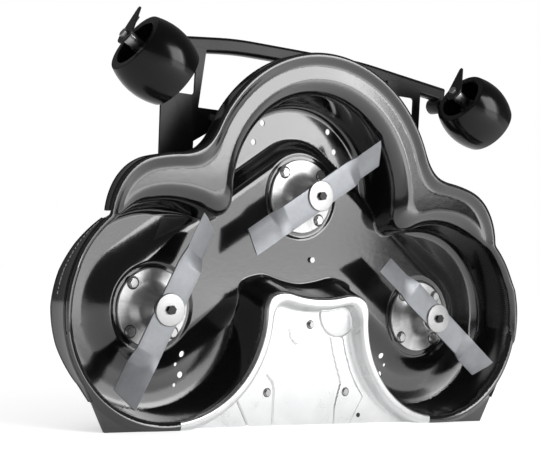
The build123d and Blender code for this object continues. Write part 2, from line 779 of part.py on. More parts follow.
def bar_plate(side):
    """Upright plate from the outer roof to the front bar, with a window."""
    outline = polygon((plate_in_x, plate_foot_z), (plate_foot_x, plate_foot_z), (plate_out_x, plate_shelf_z),
                      (plate_out_x, plate_top_z), (plate_in_top_x, plate_top_z), (plate_in_x, tie_z0))
    window = polygon((window_in_x, plate_shelf_z), (window_out_x, plate_shelf_z),
                     (window_out_x, window_top_z), (window_in_x, window_top_z))
    plate = slab(outline - fillet(window.vertices(), window_r), plate_y, plate_y + plate_t)
    return plate if side > 0 else mirrored(plate)


def tie_plate(side):
    """Short plate behind the upright one, reaching in towards the dome."""
    outline = polygon((plate_in_x + tie_lap, tie_z0), (plate_in_x + tie_lap, tie_z1), (tie_x, tie_z1),
                      (tie_x, tie_z1 - 2 * tie_edge), (plate_in_x, tie_z0))
    y0 = plate_y + plate_t
    plate = slab(outline, y0, y0 + plate_t)
    bolt_at = (tie_x + tie_edge, tie_z1 - tie_edge)
    plate -= rod(tie_bolt_r + stack_gap, y0 - cut_over, y0 + plate_t + cut_over, bolt_at)
    return plate if side > 0 else mirrored(plate)


def tie_bolts():
    """One bolt at the inner end of each tie plate."""
    bolt = through_bolt((tie_x + tie_edge, tie_z1 - tie_edge), tie_bolt_af, tie_bolt_head, tie_bolt_r,
                        plate_y + plate_t, plate_t)
    return bolt + mirrored(bolt)


def rear_hanger(side):
    """Angle bracket on the outer roof: its upright takes the rear lift link and meets the floor."""
    base = slab(Pos(hanger_x, (hanger_base_z0 + hanger_base_z1) / 2)
                * Rectangle(hanger_base_w, hanger_base_z1 - hanger_base_z0), plate_y, plate_y + hanger_t)
    y0 = plate_y + hanger_t
    upright = polygon((y0, hanger_base_z1), (y0, hanger_base_z0), (hanger_foot_back, 0), (hanger_back, 0),
                      (hanger_back, hanger_pin_z + hanger_pin_edge))
    upright -= Pos(hanger_pin_back, hanger_pin_z) * Circle(hanger_pin_r)
    bracket = base + Pos(hanger_x, 0, 0) * extrude(Plane.YZ * upright, amount=hanger_t / 2, both=True)
    return bracket if side > 0 else mirrored(bracket)


def caster_place(side):
    return Pos(side * pivot_x, 0, pivot_z) * Rot(0, caster_turn, 0)


def axle_rod(r, x0, x1):
    """Round bar on the wheel's axle, between two distances along it."""
    plane = Plane(origin=(x0, axle_front, -caster_trail), x_dir=(0, 1, 0), z_dir=(1, 0, 0))
    return extrude(plane * Circle(r), amount=x1 - x0)


def axle_hex(af, x0, x1):
    plane = Plane(origin=(x0, axle_front, -caster_trail), x_dir=(0, 1, 0), z_dir=(1, 0, 0))
    return extrude(plane * RegularPolygon(af / 2, 6, major_radius=False), amount=x1 - x0)


arm_x = wheel_half_w + yoke_gap
crown_y = axle_front + wheel_r + yoke_crown_gap
lock_in = lock_plate_x - lock_plate_t / 2
lock_out = lock_plate_x + lock_plate_t / 2


def caster_yoke(side):
    """Swivel stem, crown and single arm of a caster."""
    sideways = Plane(origin=(arm_x, 0, 0), x_dir=(0, 1, 0), z_dir=(1, 0, 0))
    wide = yoke_arm_w / 2
    side_view = strap((axle_front, -caster_trail), wide, (crown_y, -wide / 2), wide)
    arm = extrude(sideways * side_view, amount=yoke_t)
    arm &= Pos(0, crown_y + yoke_t - 2 * wheel_r, 0) * Box(4 * wheel_r, 4 * wheel_r, 4 * wheel_r)
    crown = strap((0, 0), wide, (arm_x + yoke_t - wide, -wide / 2), wide)
    crown += polygon((arm_x - wide, -1.5 * wide), (arm_x + yoke_t, -1.5 * wide), (arm_x + yoke_t, wide / 2),
                     (arm_x - wide, wide / 2))
    sleeve0, sleeve1 = bar_y - sleeve_l / 2, bar_y + sleeve_l / 2
    yoke = arm + slab(crown, crown_y, crown_y + yoke_t)
    yoke += rod(stem_head_r, crown_y, sleeve0 - spacer_gap)
    yoke += rod(stem_r, sleeve0 - spacer_gap, sleeve1 + spacer_gap)
    yoke += rod(stem_head_r, sleeve1 + spacer_gap, sleeve1 + spacer_gap + stem_head_t)
    yoke -= axle_rod(axle_r + stack_gap, arm_x - cut_over, arm_x + yoke_t + cut_over)
    return caster_place(side) * yoke


def caster_axle(side):
    bolt = axle_hex(axle_bolt_af, -lock_out - axle_bolt_head, -lock_out)
    bolt += axle_rod(axle_r, -lock_out, arm_x + yoke_t + axle_bolt_head)
    bolt += axle_hex(axle_bolt_af, arm_x + yoke_t, arm_x + yoke_t + axle_bolt_head)
    return caster_place(side) * bolt


def caster_spacers(side):
    """Tubes each side of the hub that keep the wheel in the middle of its axle."""
    tubes = axle_rod(spacer_tube_r, -lock_in, -wheel_hub_half - spacer_gap)
    tubes += axle_rod(spacer_tube_r, wheel_hub_half + spacer_gap, arm_x)
    return caster_place(side) * (tubes - axle_rod(axle_r + stack_gap, -lock_out, arm_x + cut_over))


def lock_plate(side):
    """Tapered plate under the axle bolt's head, with a stiffening flange along its rear edge."""
    wide = lock_plate_w / 2
    tip_y, tip_z = axle_front + lock_tip_y, -caster_trail + lock_plate_l
    sideways = Plane(origin=(-lock_out, 0, 0), x_dir=(0, 1, 0), z_dir=(1, 0, 0))
    outline = strap((axle_front, -caster_trail), wide, (tip_y, tip_z), lock_tip_r)
    plate = extrude(sideways * outline, amount=lock_plate_t)
    run = hypot(lock_tip_y, lock_plate_l)
    lean = atan2(lock_plate_l, lock_tip_y) - acos((wide - lock_tip_r) / run)
    flange = (Pos(axle_front, -caster_trail) * Rot(0, 0, degrees(lean))
              * Pos(wide - lock_plate_t / 2, run / 2) * Rectangle(lock_plate_t, run * lock_flange_share))
    plate += extrude(sideways * flange, amount=lock_flange)
    plate -= axle_rod(axle_r + stack_gap, -lock_out - cut_over, -lock_in + cut_over)
    return caster_place(side) * plate


def ball_wheel(side):
    """Barrel wheel with a deep dish and a hub on each side."""
    crown = ThreePointArc((-wheel_half_w, wheel_side_r), (0, wheel_r), (wheel_half_w, wheel_side_r))
    bore = axle_r + running_gap
    sides = Polyline((wheel_half_w, wheel_side_r), (wheel_half_w, wheel_end_r), (wheel_web, wheel_dish_r),
                     (wheel_web, wheel_hub_r), (wheel_hub_half, wheel_hub_r), (wheel_hub_half, bore),
                     (-wheel_hub_half, bore), (-wheel_hub_half, wheel_hub_r), (-wheel_web, wheel_hub_r),
                     (-wheel_web, wheel_dish_r), (-wheel_half_w, wheel_end_r), (-wheel_half_w, wheel_side_r))
    face = make_face(crown + sides)
    rims = [v for v in face.vertices() if abs(v.Y - wheel_side_r) < gap_tolerance]
    wheel = revolve(fillet(rims, wheel_side_r - wheel_end_r - gap_tolerance), Axis.X)
    return caster_place(side) * Pos(0, axle_front, -caster_trail) * wheel


def plateau_screw():
    return through_bolt(screw_at, baffle_bolt_af, baffle_bolt_head, baffle_bolt_r, plateau_depth, sheet)


def add(name, shape):
    nodes[name] = shape


add("deck_shell", deck_shell())
add("rear_baffle", rear_baffle())
add("baffle_bolts", baffle_bolts())
add("plateau_screw", plateau_screw())
add("housing_bolts", housing_bolts())
for name, at in spindles.items():
    add(f"{name}_spindle_housing", spindle_housing(at))
    add(f"{name}_spindle_bearings", bearings(at))
    add(f"{name}_spindle_shaft", spindle_shaft(name, at))
    add(f"{name}_spindle_spacer", spindle_spacer(at))
    add(f"{name}_blade", blade(at, blade_headings[name]))
    add(f"{name}_blade_washer", blade_washer(at))
    add(f"{name}_blade_bolt", blade_bolt(at))
    add(f"{name}_pulley", spindle_pulley(name, at))
    add(f"{name}_pulley_nut", pulley_nut(name, at))
add("drive_belt", drive_belt())
add("idler_arm", idler_arm())
add("idler_pulley", idler_pulley())
add("idler_pivot", idler_pivot())
add("spring_anchor", spring_anchor())
add("tension_spring", tension_spring())
add("front_bar", front_bar())
add("tie_bolts", tie_bolts())
for name, side in (("left", -1), ("right", 1)):
    add(f"{name}_bar_plate", bar_plate(side))
    add(f"{name}_tie_plate", tie_plate(side))
    add(f"{name}_rear_hanger", rear_hanger(side))
    add(f"{name}_caster_yoke", caster_yoke(side))
    add(f"{name}_caster_wheel", ball_wheel(side))
    add(f"{name}_caster_axle", caster_axle(side))
    add(f"{name}_caster_spacers", caster_spacers(side))
    add(f"{name}_lock_plate", lock_plate(side))

os.makedirs("parts", exist_ok=True)
for name, shape in nodes.items():
    shape.label = name
    export_step(shape, f"parts/{name}.step")
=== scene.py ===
"""Looks of a mower deck that stands on its rear edge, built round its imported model.

Lengths in the shape code are millimetres in the model's own frame: x across, y depth behind the
rim, z up. They become metres when a mesh is made. Sizes in the material code are metres.
"""

import json
from math import acos, cos, hypot, pi, radians, sin, sqrt, tan

import bpy
import bmesh
import numpy as np
from mathutils import Matrix, Vector
from mathutils.geometry import delaunay_2d_cdt


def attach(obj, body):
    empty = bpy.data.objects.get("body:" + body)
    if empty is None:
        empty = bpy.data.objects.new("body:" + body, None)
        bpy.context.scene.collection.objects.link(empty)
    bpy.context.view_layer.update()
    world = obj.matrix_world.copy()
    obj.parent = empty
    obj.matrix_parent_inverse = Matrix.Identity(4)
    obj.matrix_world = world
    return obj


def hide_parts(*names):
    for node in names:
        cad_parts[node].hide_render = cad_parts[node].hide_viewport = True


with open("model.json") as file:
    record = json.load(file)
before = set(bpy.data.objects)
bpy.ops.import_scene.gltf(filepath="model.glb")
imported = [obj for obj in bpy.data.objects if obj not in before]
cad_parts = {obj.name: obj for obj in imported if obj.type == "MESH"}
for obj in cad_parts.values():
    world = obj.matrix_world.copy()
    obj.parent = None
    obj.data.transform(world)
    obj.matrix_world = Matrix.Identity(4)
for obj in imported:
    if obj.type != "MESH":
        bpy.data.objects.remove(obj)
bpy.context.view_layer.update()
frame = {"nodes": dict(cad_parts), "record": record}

MM = 0.001
TINY = 1e-6


# Sizes of the pressed deck

SPINDLE_X, OUTER_Z, CENTRE_Z = 400.0, 265.0, 550.0
SPINDLE_DROP = CENTRE_Z - OUTER_Z
SPINDLES = {"left": (-SPINDLE_X, OUTER_Z), "centre": (0.0, CENTRE_Z), "right": (SPINDLE_X, OUTER_Z)}

DECK_SHEET, BAFFLE_SHEET = 3.5, 2.0
DOME_R, LOBE_R, MOUTH_R = 340, 264, 246
SHOULDER_Z, SHOULDER_KNEE_X, SHOULDER_SIDE_X = 615, 455, 574
SHOULDER_DROP, SHOULDER_FOOT_Z = 55, 200
SHOULDER_KNEE_BLEND, SHOULDER_SIDE_BLEND = 40, 100
DOME_BLEND, LOBE_BLEND = 72, 6
CORNER_X, CORNER_RUN, CORNER_RISE, CORNER_TOP = 554, 54, 103, 150
BAY_X, BAY_TOP, BAY_BELOW, BAY_BLEND = 345, 250, 60, 12

BAFFLE_ARC_R, BAFFLE_CORNER_BLEND, BAFFLE_HALF = 246.6, 40, 368
BAFFLE_PANEL_DEPTH = 37
FOOT_ARC_R, FOOT_CORNER_BLEND = 229, 46
OPENING_INSET = 9

SHELF_DEPTH, PIT_DEPTH, DOME_PIT_EXTRA = 12, 115, 15
BRIDGE_REACH, NECK_BLEND = 92, 50
DISH_DEPTH, DISH_REACH = 5, 40
PLATEAU_DEPTH, PLATEAU_HALF, PLATEAU_REAR_Z = 103, 105, 285
PLATEAU_SPREAD, PLATEAU_SPREAD_OVER, PLATEAU_BLEND = 5, 40, 18
FLANK_SLOPE, DOME_FLANK_SLOPE, FLANK_BLEND = 0.62, 0.8, 14
SEAT_R, SEAT_EDGE, SEAT_DEPTH = 98, 10, 3
WALL_DEPTH, WALL_FALL, WALL_REACH = 118, 0.8, 80
WALL_BLEND, REAR_EDGE_BLEND = 5, 25

HOUSING_BORE_R, BORE_STEPS = 41, 48
ROOF_HOLE_R, SMALL_HOLE_R, HOLE_STEPS = 7.5, 4.5, 20

DECK_MIDDLE, DECK_REACH = (0, 330), 760
BAFFLE_MIDDLE, BAFFLE_REACH = (0, 20), 420
BAY_MIDDLE, BAY_REACH, BEAD_REACH = (0, 40), 470, 460


# Shader maths


class Socket:
    """A node output that can be added, multiplied and mixed with numbers and other sockets."""

    def __init__(self, nodes, out):
        self.nodes, self.out = nodes, out

    def math(self, op, other=None, swap=False):
        args = [self, other] if other is not None else [self]
        return self.nodes.node("ShaderNodeMath", *(args[::-1] if swap else args), operation=op)

    def __add__(self, o): return self.math("ADD", o)
    def __radd__(self, o): return self.math("ADD", o)
    def __sub__(self, o): return self.math("SUBTRACT", o)
    def __rsub__(self, o): return self.math("SUBTRACT", o, True)
    def __mul__(self, o): return self.math("MULTIPLY", o)
    def __rmul__(self, o): return self.math("MULTIPLY", o)
    def __truediv__(self, o): return self.math("DIVIDE", o)
    def __rtruediv__(self, o): return self.math("DIVIDE", o, True)
    def __pow__(self, o): return self.math("POWER", o)
    def __rpow__(self, o): return self.math("POWER", o, True)
    def sin(self): return self.math("SINE")

    def ramp(self, low, high, to_low=0.0, to_high=1.0):
        """Straight ramp from one range to another, held at its ends."""
        return self.nodes.node("ShaderNodeMapRange", self, low, high, to_low, to_high)


class Nodes:
    """A node tree that gets its nodes through one generic method."""

    def __init__(self, tree):
        self.tree = tree

    def node(self, kind, *inputs, output=0, named=None, **settings):
        made = self.tree.nodes.new(kind)
        for key, value in settings.items():
            setattr(made, key, value)
        for key, value in list(enumerate(inputs)) + list((named or {}).items()):
            if isinstance(value, Socket):
                self.tree.links.new(value.out, made.inputs[key])
            else:
                made.inputs[key].default_value = value
        return Socket(self, made.outputs[output] if made.outputs else None)


class Material(Nodes):
    """A material with a Principled shader that reads the object's own coordinates."""

    MIX_FACTOR, MIX_LOW, MIX_HIGH, MIX_RESULT = 0, 6, 7, 2

    def __init__(self, name):
        self.data = bpy.data.materials.new(name)
        self.data.use_nodes = True
        super().__init__(self.data.node_tree)
        self.shader = self.tree.nodes["Principled BSDF"]
        self.coords = self.node("ShaderNodeTexCoord", output="Object")

    def noise(self, scale, detail=3.0, rough=0.55, at=None):
        return self.node("ShaderNodeTexNoise", named={"Vector": at or self.coords, "Scale": scale,
                                                      "Detail": detail, "Roughness": rough})

    def axis(self, name):
        return self.node("ShaderNodeSeparateXYZ", self.coords, output=name)

    def point(self, x, y, z):
        return self.node("ShaderNodeCombineXYZ", x, y, z)

    def mixed(self, factor, low, high):
        """Blend of two colours, or of a socket and a colour."""
        low, high = (c if isinstance(c, Socket) else (*c, 1.0) for c in (low, high))
        return self.node("ShaderNodeMix", output=self.MIX_RESULT, data_type="RGBA",
                         named={self.MIX_FACTOR: factor, self.MIX_LOW: low, self.MIX_HIGH: high})

    def feed(self, name, value):
        target = self.shader.inputs[name]
        if isinstance(value, Socket):
            self.tree.links.new(value.out, target)
        else:
            target.default_value = value

    def bump(self, height, distance):
        self.feed("Normal", self.node("ShaderNodeBump", named={"Height": height, "Distance": distance,
                                                               "Strength": 1.0}))

    def edges(self, low=0.52, high=0.60):
        """Where the surface is convex, for wear along edges."""
        return self.node("ShaderNodeNewGeometry", output="Pointiness").ramp(low, high)


def scaled(colour, share):
    return tuple(min(1, c * share) for c in colour)


def lifted(colour, amount):
    return tuple(c + amount for c in colour)


RUBBED_GREY = (0.10, 0.10, 0.105)
PEEL_HEIGHT, LATHE_HEIGHT = 0.00006, 0.00003
COAT_ROUGHNESS = 0.08


def paint(name, colour, rough, coat=0.0, gloss=0.5, wear=0.25, dust=0.02):
    """Sprayed paint: faint orange peel, soft cloudy gloss, fine scuffs and dust, rubbed edges."""
    m = Material(name)
    cloud = m.noise(scale=7.0, detail=4.0)
    scuff = m.noise(scale=38.0, detail=6.0, rough=0.7).ramp(0.58, 0.78)
    peel = m.noise(scale=420.0, detail=2.0) + m.noise(scale=60.0, detail=2.0) * 2.0
    worn = m.edges()
    dusty = m.mixed(cloud.ramp(0.35, 0.75) * (dust * 10.0), colour, lifted(colour, dust))
    m.feed("Base Color", m.mixed(worn * wear, dusty, RUBBED_GREY))
    m.feed("Roughness", cloud.ramp(0.3, 0.7, rough - 0.03, rough + 0.04) + scuff * 0.05 + worn * 0.05)
    m.feed("Coat Weight", coat)
    m.feed("Coat Roughness", COAT_ROUGHNESS)
    m.feed("Specular IOR Level", gloss)
    m.bump(peel, PEEL_HEIGHT)
    return m.data


def metal(name, colour, rough, grain_scale, grain_height=0.00002, blotch=0.12, metallic=1.0):
    """Bare or plated steel: fine grain, cloudy tone, a little tarnish and brighter edges."""
    m = Material(name)
    grain = m.noise(scale=grain_scale, detail=4.0, rough=0.6)
    cloud = m.noise(scale=14.0, detail=5.0, rough=0.6)
    spots = m.noise(scale=160.0).ramp(0.66, 0.8)
    tone = m.mixed(cloud.ramp(0.3, 0.7), scaled(colour, 1 - 2.2 * blotch), colour)
    tone = m.mixed(spots * 0.25, tone, scaled(colour, 0.55))
    m.feed("Base Color", m.mixed(m.edges(0.53, 0.62) * 0.4, tone, scaled(colour, 1.25)))
    m.feed("Metallic", metallic)
    m.feed("Roughness", grain.ramp(0.3, 0.7, rough - 0.06, rough + 0.08) + cloud.ramp(0.4, 0.7, 0.0, 0.06))
    m.bump(grain, grain_height)
    return m.data


def spun_metal(name, colour, rough, centre):
    """Turned face: fine rings about a spindle, with painted sheen: base colour swept lighter and darker in
    angular bands about the spindle, in place of the light a turned face reflects.
    """
    m = Material(name)
    dx = m.axis("X") - centre[0] * MM
    dz = m.axis("Z") - centre[1] * MM
    radius = (dx * dx + dz * dz) ** 0.5
    sector = m.node("ShaderNodeMath", dz, dx, operation="ARCTAN2")
    rings = m.noise(scale=1.0, rough=0.6, at=m.point(radius * 900.0, 0.0, 0.0))
    # Painted sheen: angular bands of lighter and darker base colour round the spindle stand in for reflected
    # light.
    painted_sheen_at = m.point((sector * 2.0).sin(), (sector * 3.0).sin(), radius * 9.0)
    painted_sheen = m.noise(scale=1.6, rough=0.6, at=painted_sheen_at)
    cloud = m.noise(scale=26.0, detail=5.0, rough=0.65)
    tone = m.mixed(painted_sheen.ramp(0.35, 0.65), scaled(colour, 0.74), colour)
    m.feed("Base Color", m.mixed(cloud.ramp(0.5, 0.75) * 0.5, tone, scaled(colour, 0.6)))
    m.feed("Metallic", 0.85)
    m.feed("Roughness", rings.ramp(0.3, 0.7, rough - 0.06, rough + 0.1) + cloud.ramp(0.4, 0.8, 0.0, 0.12))
    m.bump(rings, LATHE_HEIGHT)
    return m.data


def plastic(name, colour, rough, grain_height):
    """Moulded plastic or rubber: fine grain, cloudy gloss, rubbed patches and edges."""
    m = Material(name)
    cloud = m.noise(scale=11.0, detail=4.0)
    rub = m.noise(scale=55.0, detail=6.0, rough=0.7).ramp(0.55, 0.8)
    tone = m.mixed(rub * 0.35, colour, lifted(colour, 0.008))
    m.feed("Base Color", m.mixed(m.edges() * 0.3, tone, lifted(colour, 0.02)))
    m.feed("Roughness", cloud.ramp(0.3, 0.7, rough - 0.05, rough + 0.06) + rub * 0.06)
    m.feed("Specular IOR Level", 0.35)
    m.bump(m.noise(scale=700.0, detail=2.0), grain_height)
    return m.data


DECK_BLACK, HOUSING_GREY = (0.004, 0.004, 0.0045), (0.68, 0.68, 0.68)

mats = {
    "shell": paint("shell_paint", DECK_BLACK, rough=0.12, coat=0.6, gloss=1.0, dust=0.004),
    "bracket": paint("bracket_paint", DECK_BLACK, rough=0.3, gloss=0.3, wear=0.3, dust=0.004),
    "galvanised": metal("galvanised_sheet", (0.80, 0.805, 0.81), rough=0.30, grain_scale=40.0,
                        grain_height=0.000002, blotch=0.03),
    "blade": metal("blade_steel", (0.34, 0.35, 0.37), rough=0.38, grain_scale=220.0, metallic=0.55),
    "washer": metal("washer_zinc", (0.50, 0.50, 0.50), rough=0.32, grain_scale=260.0),
    "bolt": metal("fastener_zinc", (0.52, 0.52, 0.52), rough=0.30, grain_scale=380.0),
    "dark_bolt": metal("blade_bolt_steel", (0.05, 0.05, 0.052), rough=0.34, grain_scale=380.0),
    # Bright bead metal for the lip: a painted highlight.
    "weld": metal("weld_steel", (0.62, 0.62, 0.62), rough=0.4, grain_scale=500.0, metallic=0.4),
    "shaft": metal("shaft_steel", (0.5, 0.5, 0.52), rough=0.3, grain_scale=380.0),
    "spacer": paint("spacer_black", (0.012, 0.012, 0.012), rough=0.35),
    "pulley": paint("pulley_paint", (0.02, 0.02, 0.021), rough=0.32, wear=0.6),
    "idler": metal("idler_steel", (0.55, 0.56, 0.57), rough=0.28, grain_scale=300.0),
    "spring": metal("spring_steel", (0.45, 0.45, 0.46), rough=0.3, grain_scale=500.0),
    "belt": plastic("belt_rubber", (0.016, 0.016, 0.016), rough=0.6, grain_height=0.0001),
    "wheel": plastic("wheel_plastic", (0.003, 0.003, 0.0034), rough=0.17, grain_height=0.000008),
}
for side, at in SPINDLES.items():
    mats[side + "_housing"] = spun_metal(side + "_housing_alloy", HOUSING_GREY, rough=0.32, centre=at)


# Mesh making


def rounded(points, radii, steps=7):
    """Polyline whose inner corners are replaced by arcs."""
    pts = [np.array(p, float) for p in points]
    if np.isscalar(radii):
        radii = [radii] * (len(pts) - 2)
    longest = 0.48
    made = [pts[0]]
    for before, corner, after, r in zip(pts, pts[1:], pts[2:], radii):
        u, v = before - corner, after - corner
        lu, lv = np.linalg.norm(u), np.linalg.norm(v)
        u, v = u / lu, v / lv
        half = acos(float(np.clip(u @ v, -1, 1))) / 2
        straight = abs(half - pi / 2) < 1e-3
        if r <= 0 or straight:
            made.append(corner)
            continue
        reach = min(r / tan(half), longest * lu, longest * lv)
        r = reach * tan(half)
        bisector = (u + v) / np.linalg.norm(u + v)
        centre = corner + bisector * r / sin(half)
        a, b = corner + u * reach - centre, corner + v * reach - centre
        span = pi - 2 * half
        for k in range(steps + 1):
            t = k / steps
            made.append(centre + (a * sin((1 - t) * span) + b * sin(t * span)) / sin(span))
    made.append(pts[-1])
    return np.array(made)


def revolved(profile, count=96):
    """Verts and faces of an outline of (radius, depth) turned about the depth axis."""
    verts, rings, faces = [], [], []
    for r, y in profile:
        if r < TINY:
            rings.append([len(verts)] * count)
            verts.append((0.0, y, 0.0))
        else:
            rings.append(list(range(len(verts), len(verts) + count)))
            verts += [(r * cos(2 * pi * k / count), y, r * sin(2 * pi * k / count)) for k in range(count)]
    for a, b in zip(rings, rings[1:]):
        for k in range(count):
            n = (k + 1) % count
            quad = list(dict.fromkeys((a[k], a[n], b[n], b[k])))
            if len(quad) > 2:
                faces.append(quad)
    return np.array(verts), faces


def in_scene(name, mesh):
    obj = bpy.data.objects.new(name, mesh)
    bpy.context.scene.collection.objects.link(obj)
    return obj


def piece(name, verts, faces, material, body, nodes=(), angle=32.0, normals=None):
    """A finished object: metres, at the origin, smooth but for its sharp edges, riding on a body."""
    mesh = bpy.data.meshes.new(name)
    mesh.from_pydata((np.asarray(verts, float) * MM).tolist(), [], [list(map(int, f)) for f in faces])
    if normals is None:
        b = bmesh.new()
        b.from_mesh(mesh)
        bmesh.ops.delete(b, geom=[v for v in b.verts if not v.link_faces], context="VERTS")
        bmesh.ops.remove_doubles(b, verts=b.verts, dist=TINY)
        bmesh.ops.recalc_face_normals(b, faces=b.faces)
        b.to_mesh(mesh)
        b.free()
    mesh.polygons.foreach_set("use_smooth", [True] * len(mesh.polygons))
    if normals is None:
        mesh.set_sharp_from_angle(angle=radians(angle))
    else:
        mesh.normals_split_custom_set_from_vertices(normals.tolist())
    mesh.materials.append(material)
    obj = in_scene(name, mesh)
    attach(obj, body)
    if nodes:
        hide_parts(*nodes)


def turned(name, profile, at, material, body, nodes, count=96):
    """A closed turned piece on an axis along y through (x, z)."""
    verts, faces = revolved(list(profile) + [profile[0]], count)
    piece(name, verts + np.array((at[0], 0.0, at[1])), faces, material, body, nodes)


def placed(verts, at, turn):
    """Points turned about the depth axis, in degrees, and moved to (x, z)."""
    place = Matrix.Translation((at[0], 0, at[1])) @ Matrix.Rotation(radians(turn), 4, "Y")
    return np.array([tuple(place @ Vector(v)) for v in verts])


# Fields of the pressed deck: distances over the rim plane, and depths made from them


def ease(t):
    t = np.clip(t, 0.0, 1.0)
    return t * t * (3 - 2 * t)


def fade(value, start, width):
    """Nothing up to a start, one from a width further on."""
    return ease((value - start) / width)


def smax(a, b, k):
    """Larger of two values, with a soft change-over of width k."""
    h = np.clip(0.5 + 0.5 * (a - b) / k, 0.0, 1.0)
    return b + (a - b) * h + k * h * (1 - h)


def smin(a, b, k):
    return -smax(-a, -b, k)


def profile_of(points, radii):
    """Depth as a function of distance, from a rounded outline of (distance, depth)."""
    line = rounded(points, radii, steps=24)
    order = np.argsort(line[:, 0], kind="stable")
    return lambda d: np.interp(d, line[order, 0], line[order, 1])


def to_segment(x, z, a, b):
    """Distance from a segment."""
    dx, dz = b[0] - a[0], b[1] - a[1]
    t = np.clip(((x - a[0]) * dx + (z - a[1]) * dz) / (dx * dx + dz * dz), 0, 1)
    return np.hypot(x - a[0] - t * dx, z - a[1] - t * dz)


def from_centre(x, z):
    """Distance from the centre spindle."""
    return np.hypot(x, z - CENTRE_Z)


def from_outer(x, z):
    """Distance from the outer spindle on the same side."""
    return np.hypot(np.abs(x) - SPINDLE_X, z - OUTER_Z)


def rim_field(x, z):
    """Distance inside the deck's outline, without the rear corner plates."""
    ax = np.abs(x)
    run = SHOULDER_SIDE_X - SHOULDER_KNEE_X
    fall = ((SHOULDER_Z - z) * run - (ax - SHOULDER_KNEE_X) * SHOULDER_DROP) / hypot(run, SHOULDER_DROP)
    shoulder = smin(SHOULDER_Z - z, fall, SHOULDER_KNEE_BLEND)
    shoulder = smin(shoulder, SHOULDER_SIDE_X - ax, SHOULDER_SIDE_BLEND)
    shoulder = np.minimum(shoulder, z - SHOULDER_FOOT_Z)
    front = smax(DOME_R - from_centre(x, z), shoulder, DOME_BLEND)
    return smax(front, LOBE_R - from_outer(x, z), LOBE_BLEND)


def corner_field(x, z):
    """Distance inside the rear corner plates' flank and the floor line."""
    flank = ((CORNER_X - np.abs(x)) * CORNER_RISE + z * CORNER_RUN) / hypot(CORNER_RUN, CORNER_RISE)
    return np.minimum(np.minimum(flank, z), CORNER_TOP - z)


def deck_field(x, z):
    """Distance inside the deck with its corner plates, cut off at the floor line."""
    return np.minimum(np.maximum(rim_field(x, z), corner_field(x, z)), z)


def edge_field(x, z):
    """Distance inside the rim, with the bay of the baffle filled in."""
    bay = np.minimum(np.minimum(BAY_X - np.abs(x), BAY_TOP - z), z + BAY_BELOW)
    return smax(rim_field(x, z), bay, BAY_BLEND)


def twin_peaks(x, level, rise, peak_x, dip, dip_width, peak_width=34):
    """Height of an edge with a peak on each side and a dip in the middle."""
    peaks = rise * np.exp(-((np.abs(x) - peak_x) / peak_width) ** 2)
    return level + peaks - dip * np.exp(-(x / dip_width) ** 2)


def island_field(x, z):
    """Distance inside the baffle's edge."""
    top = twin_peaks(x, level=309, rise=7, peak_x=98, dip=5, dip_width=62)
    return smin(from_outer(x, z) - BAFFLE_ARC_R, top - z, BAFFLE_CORNER_BLEND)


def island_foot(x, z):
    """Distance inside the line where the wall round the baffle meets plateau and roofs."""
    top = twin_peaks(x, level=350, rise=8, peak_x=104, dip=12, dip_width=58)
    return smin(from_outer(x, z) - FOOT_ARC_R, top - z, FOOT_CORNER_BLEND)


def past_line(x, z):
    """Signed distance above the line from the centre spindle to an outer one."""
    return (np.abs(x) * SPINDLE_DROP + (z - CENTRE_Z) * SPINDLE_X) / hypot(SPINDLE_DROP, SPINDLE_X)


def land_field(x, z):
    """Distance outside the plateau's outline."""
    off = past_line(x, z)
    arm = to_segment(np.abs(x), z, SPINDLES["centre"], SPINDLES["right"])
    half = PLATEAU_HALF + PLATEAU_SPREAD * np.tanh(off / PLATEAU_SPREAD_OVER)
    return smin(arm - half, np.maximum(PLATEAU_REAR_Z - z, off), PLATEAU_BLEND)


FAR = 400
rim_profile = profile_of([(-60, 8), (-8.0, 8.0), (3.0, 0.0), (9.0, 0.0), (25.0, SHELF_DEPTH),
                          (FAR, SHELF_DEPTH)], [8, 6, 7, 22])
tight_wall, wide_wall = (profile_of([(-FAR, PIT_DEPTH), (-16, PIT_DEPTH), (0, 0), (FAR, 0)], [24, roll])
                         for roll in (9, 44))
island_wall = profile_of([(-1, 0), (0.04, 0.0), (0.96, 1.0), (2, 1.0)], [0.08, 0.1])


def wall_share(x, z):
    """Way down the wall round the baffle: nothing at the baffle's edge, one at the foot."""
    foot = island_foot(x, z)
    apart, short = np.clip(-island_field(x, z), 0, None), np.clip(foot, 1e-3, None)
    return np.where(foot <= 0, 1.0, apart / (apart + short))


def pit_depth(x, z):
    """Depth of the blade chambers below the shelf: a tight roll at the rim, a wide one on the shelf."""
    mouths = smin(from_centre(x, z) - MOUTH_R, from_outer(x, z) - MOUTH_R, NECK_BLEND)
    outside = smin(mouths, past_line(x, z) - BRIDGE_REACH, NECK_BLEND)
    open_shelf = fade(rim_field(x, z), start=24, width=46)
    pit = tight_wall(outside) * (1 - open_shelf) + wide_wall(outside) * open_shelf
    return pit * (1 + DOME_PIT_EXTRA / PIT_DEPTH * (1 - fade(from_centre(x, z), start=230, width=16)))


def plateau_depth(x, z):
    """Depth of the raised plateau, its falling flanks and the seats of the spindle housings."""
    away = land_field(x, z)
    dome_side = 1 - fade(from_centre(x, z), start=235, width=40)
    slope = FLANK_SLOPE + DOME_FLANK_SLOPE * dome_side
    depth = PLATEAU_DEPTH + smax(away, np.zeros_like(away), FLANK_BLEND) * slope
    for cx, cz in SPINDLES.values():
        depth = depth + SEAT_DEPTH * (1 - fade(np.hypot(x - cx, z - cz), SEAT_R, SEAT_EDGE))
    return depth


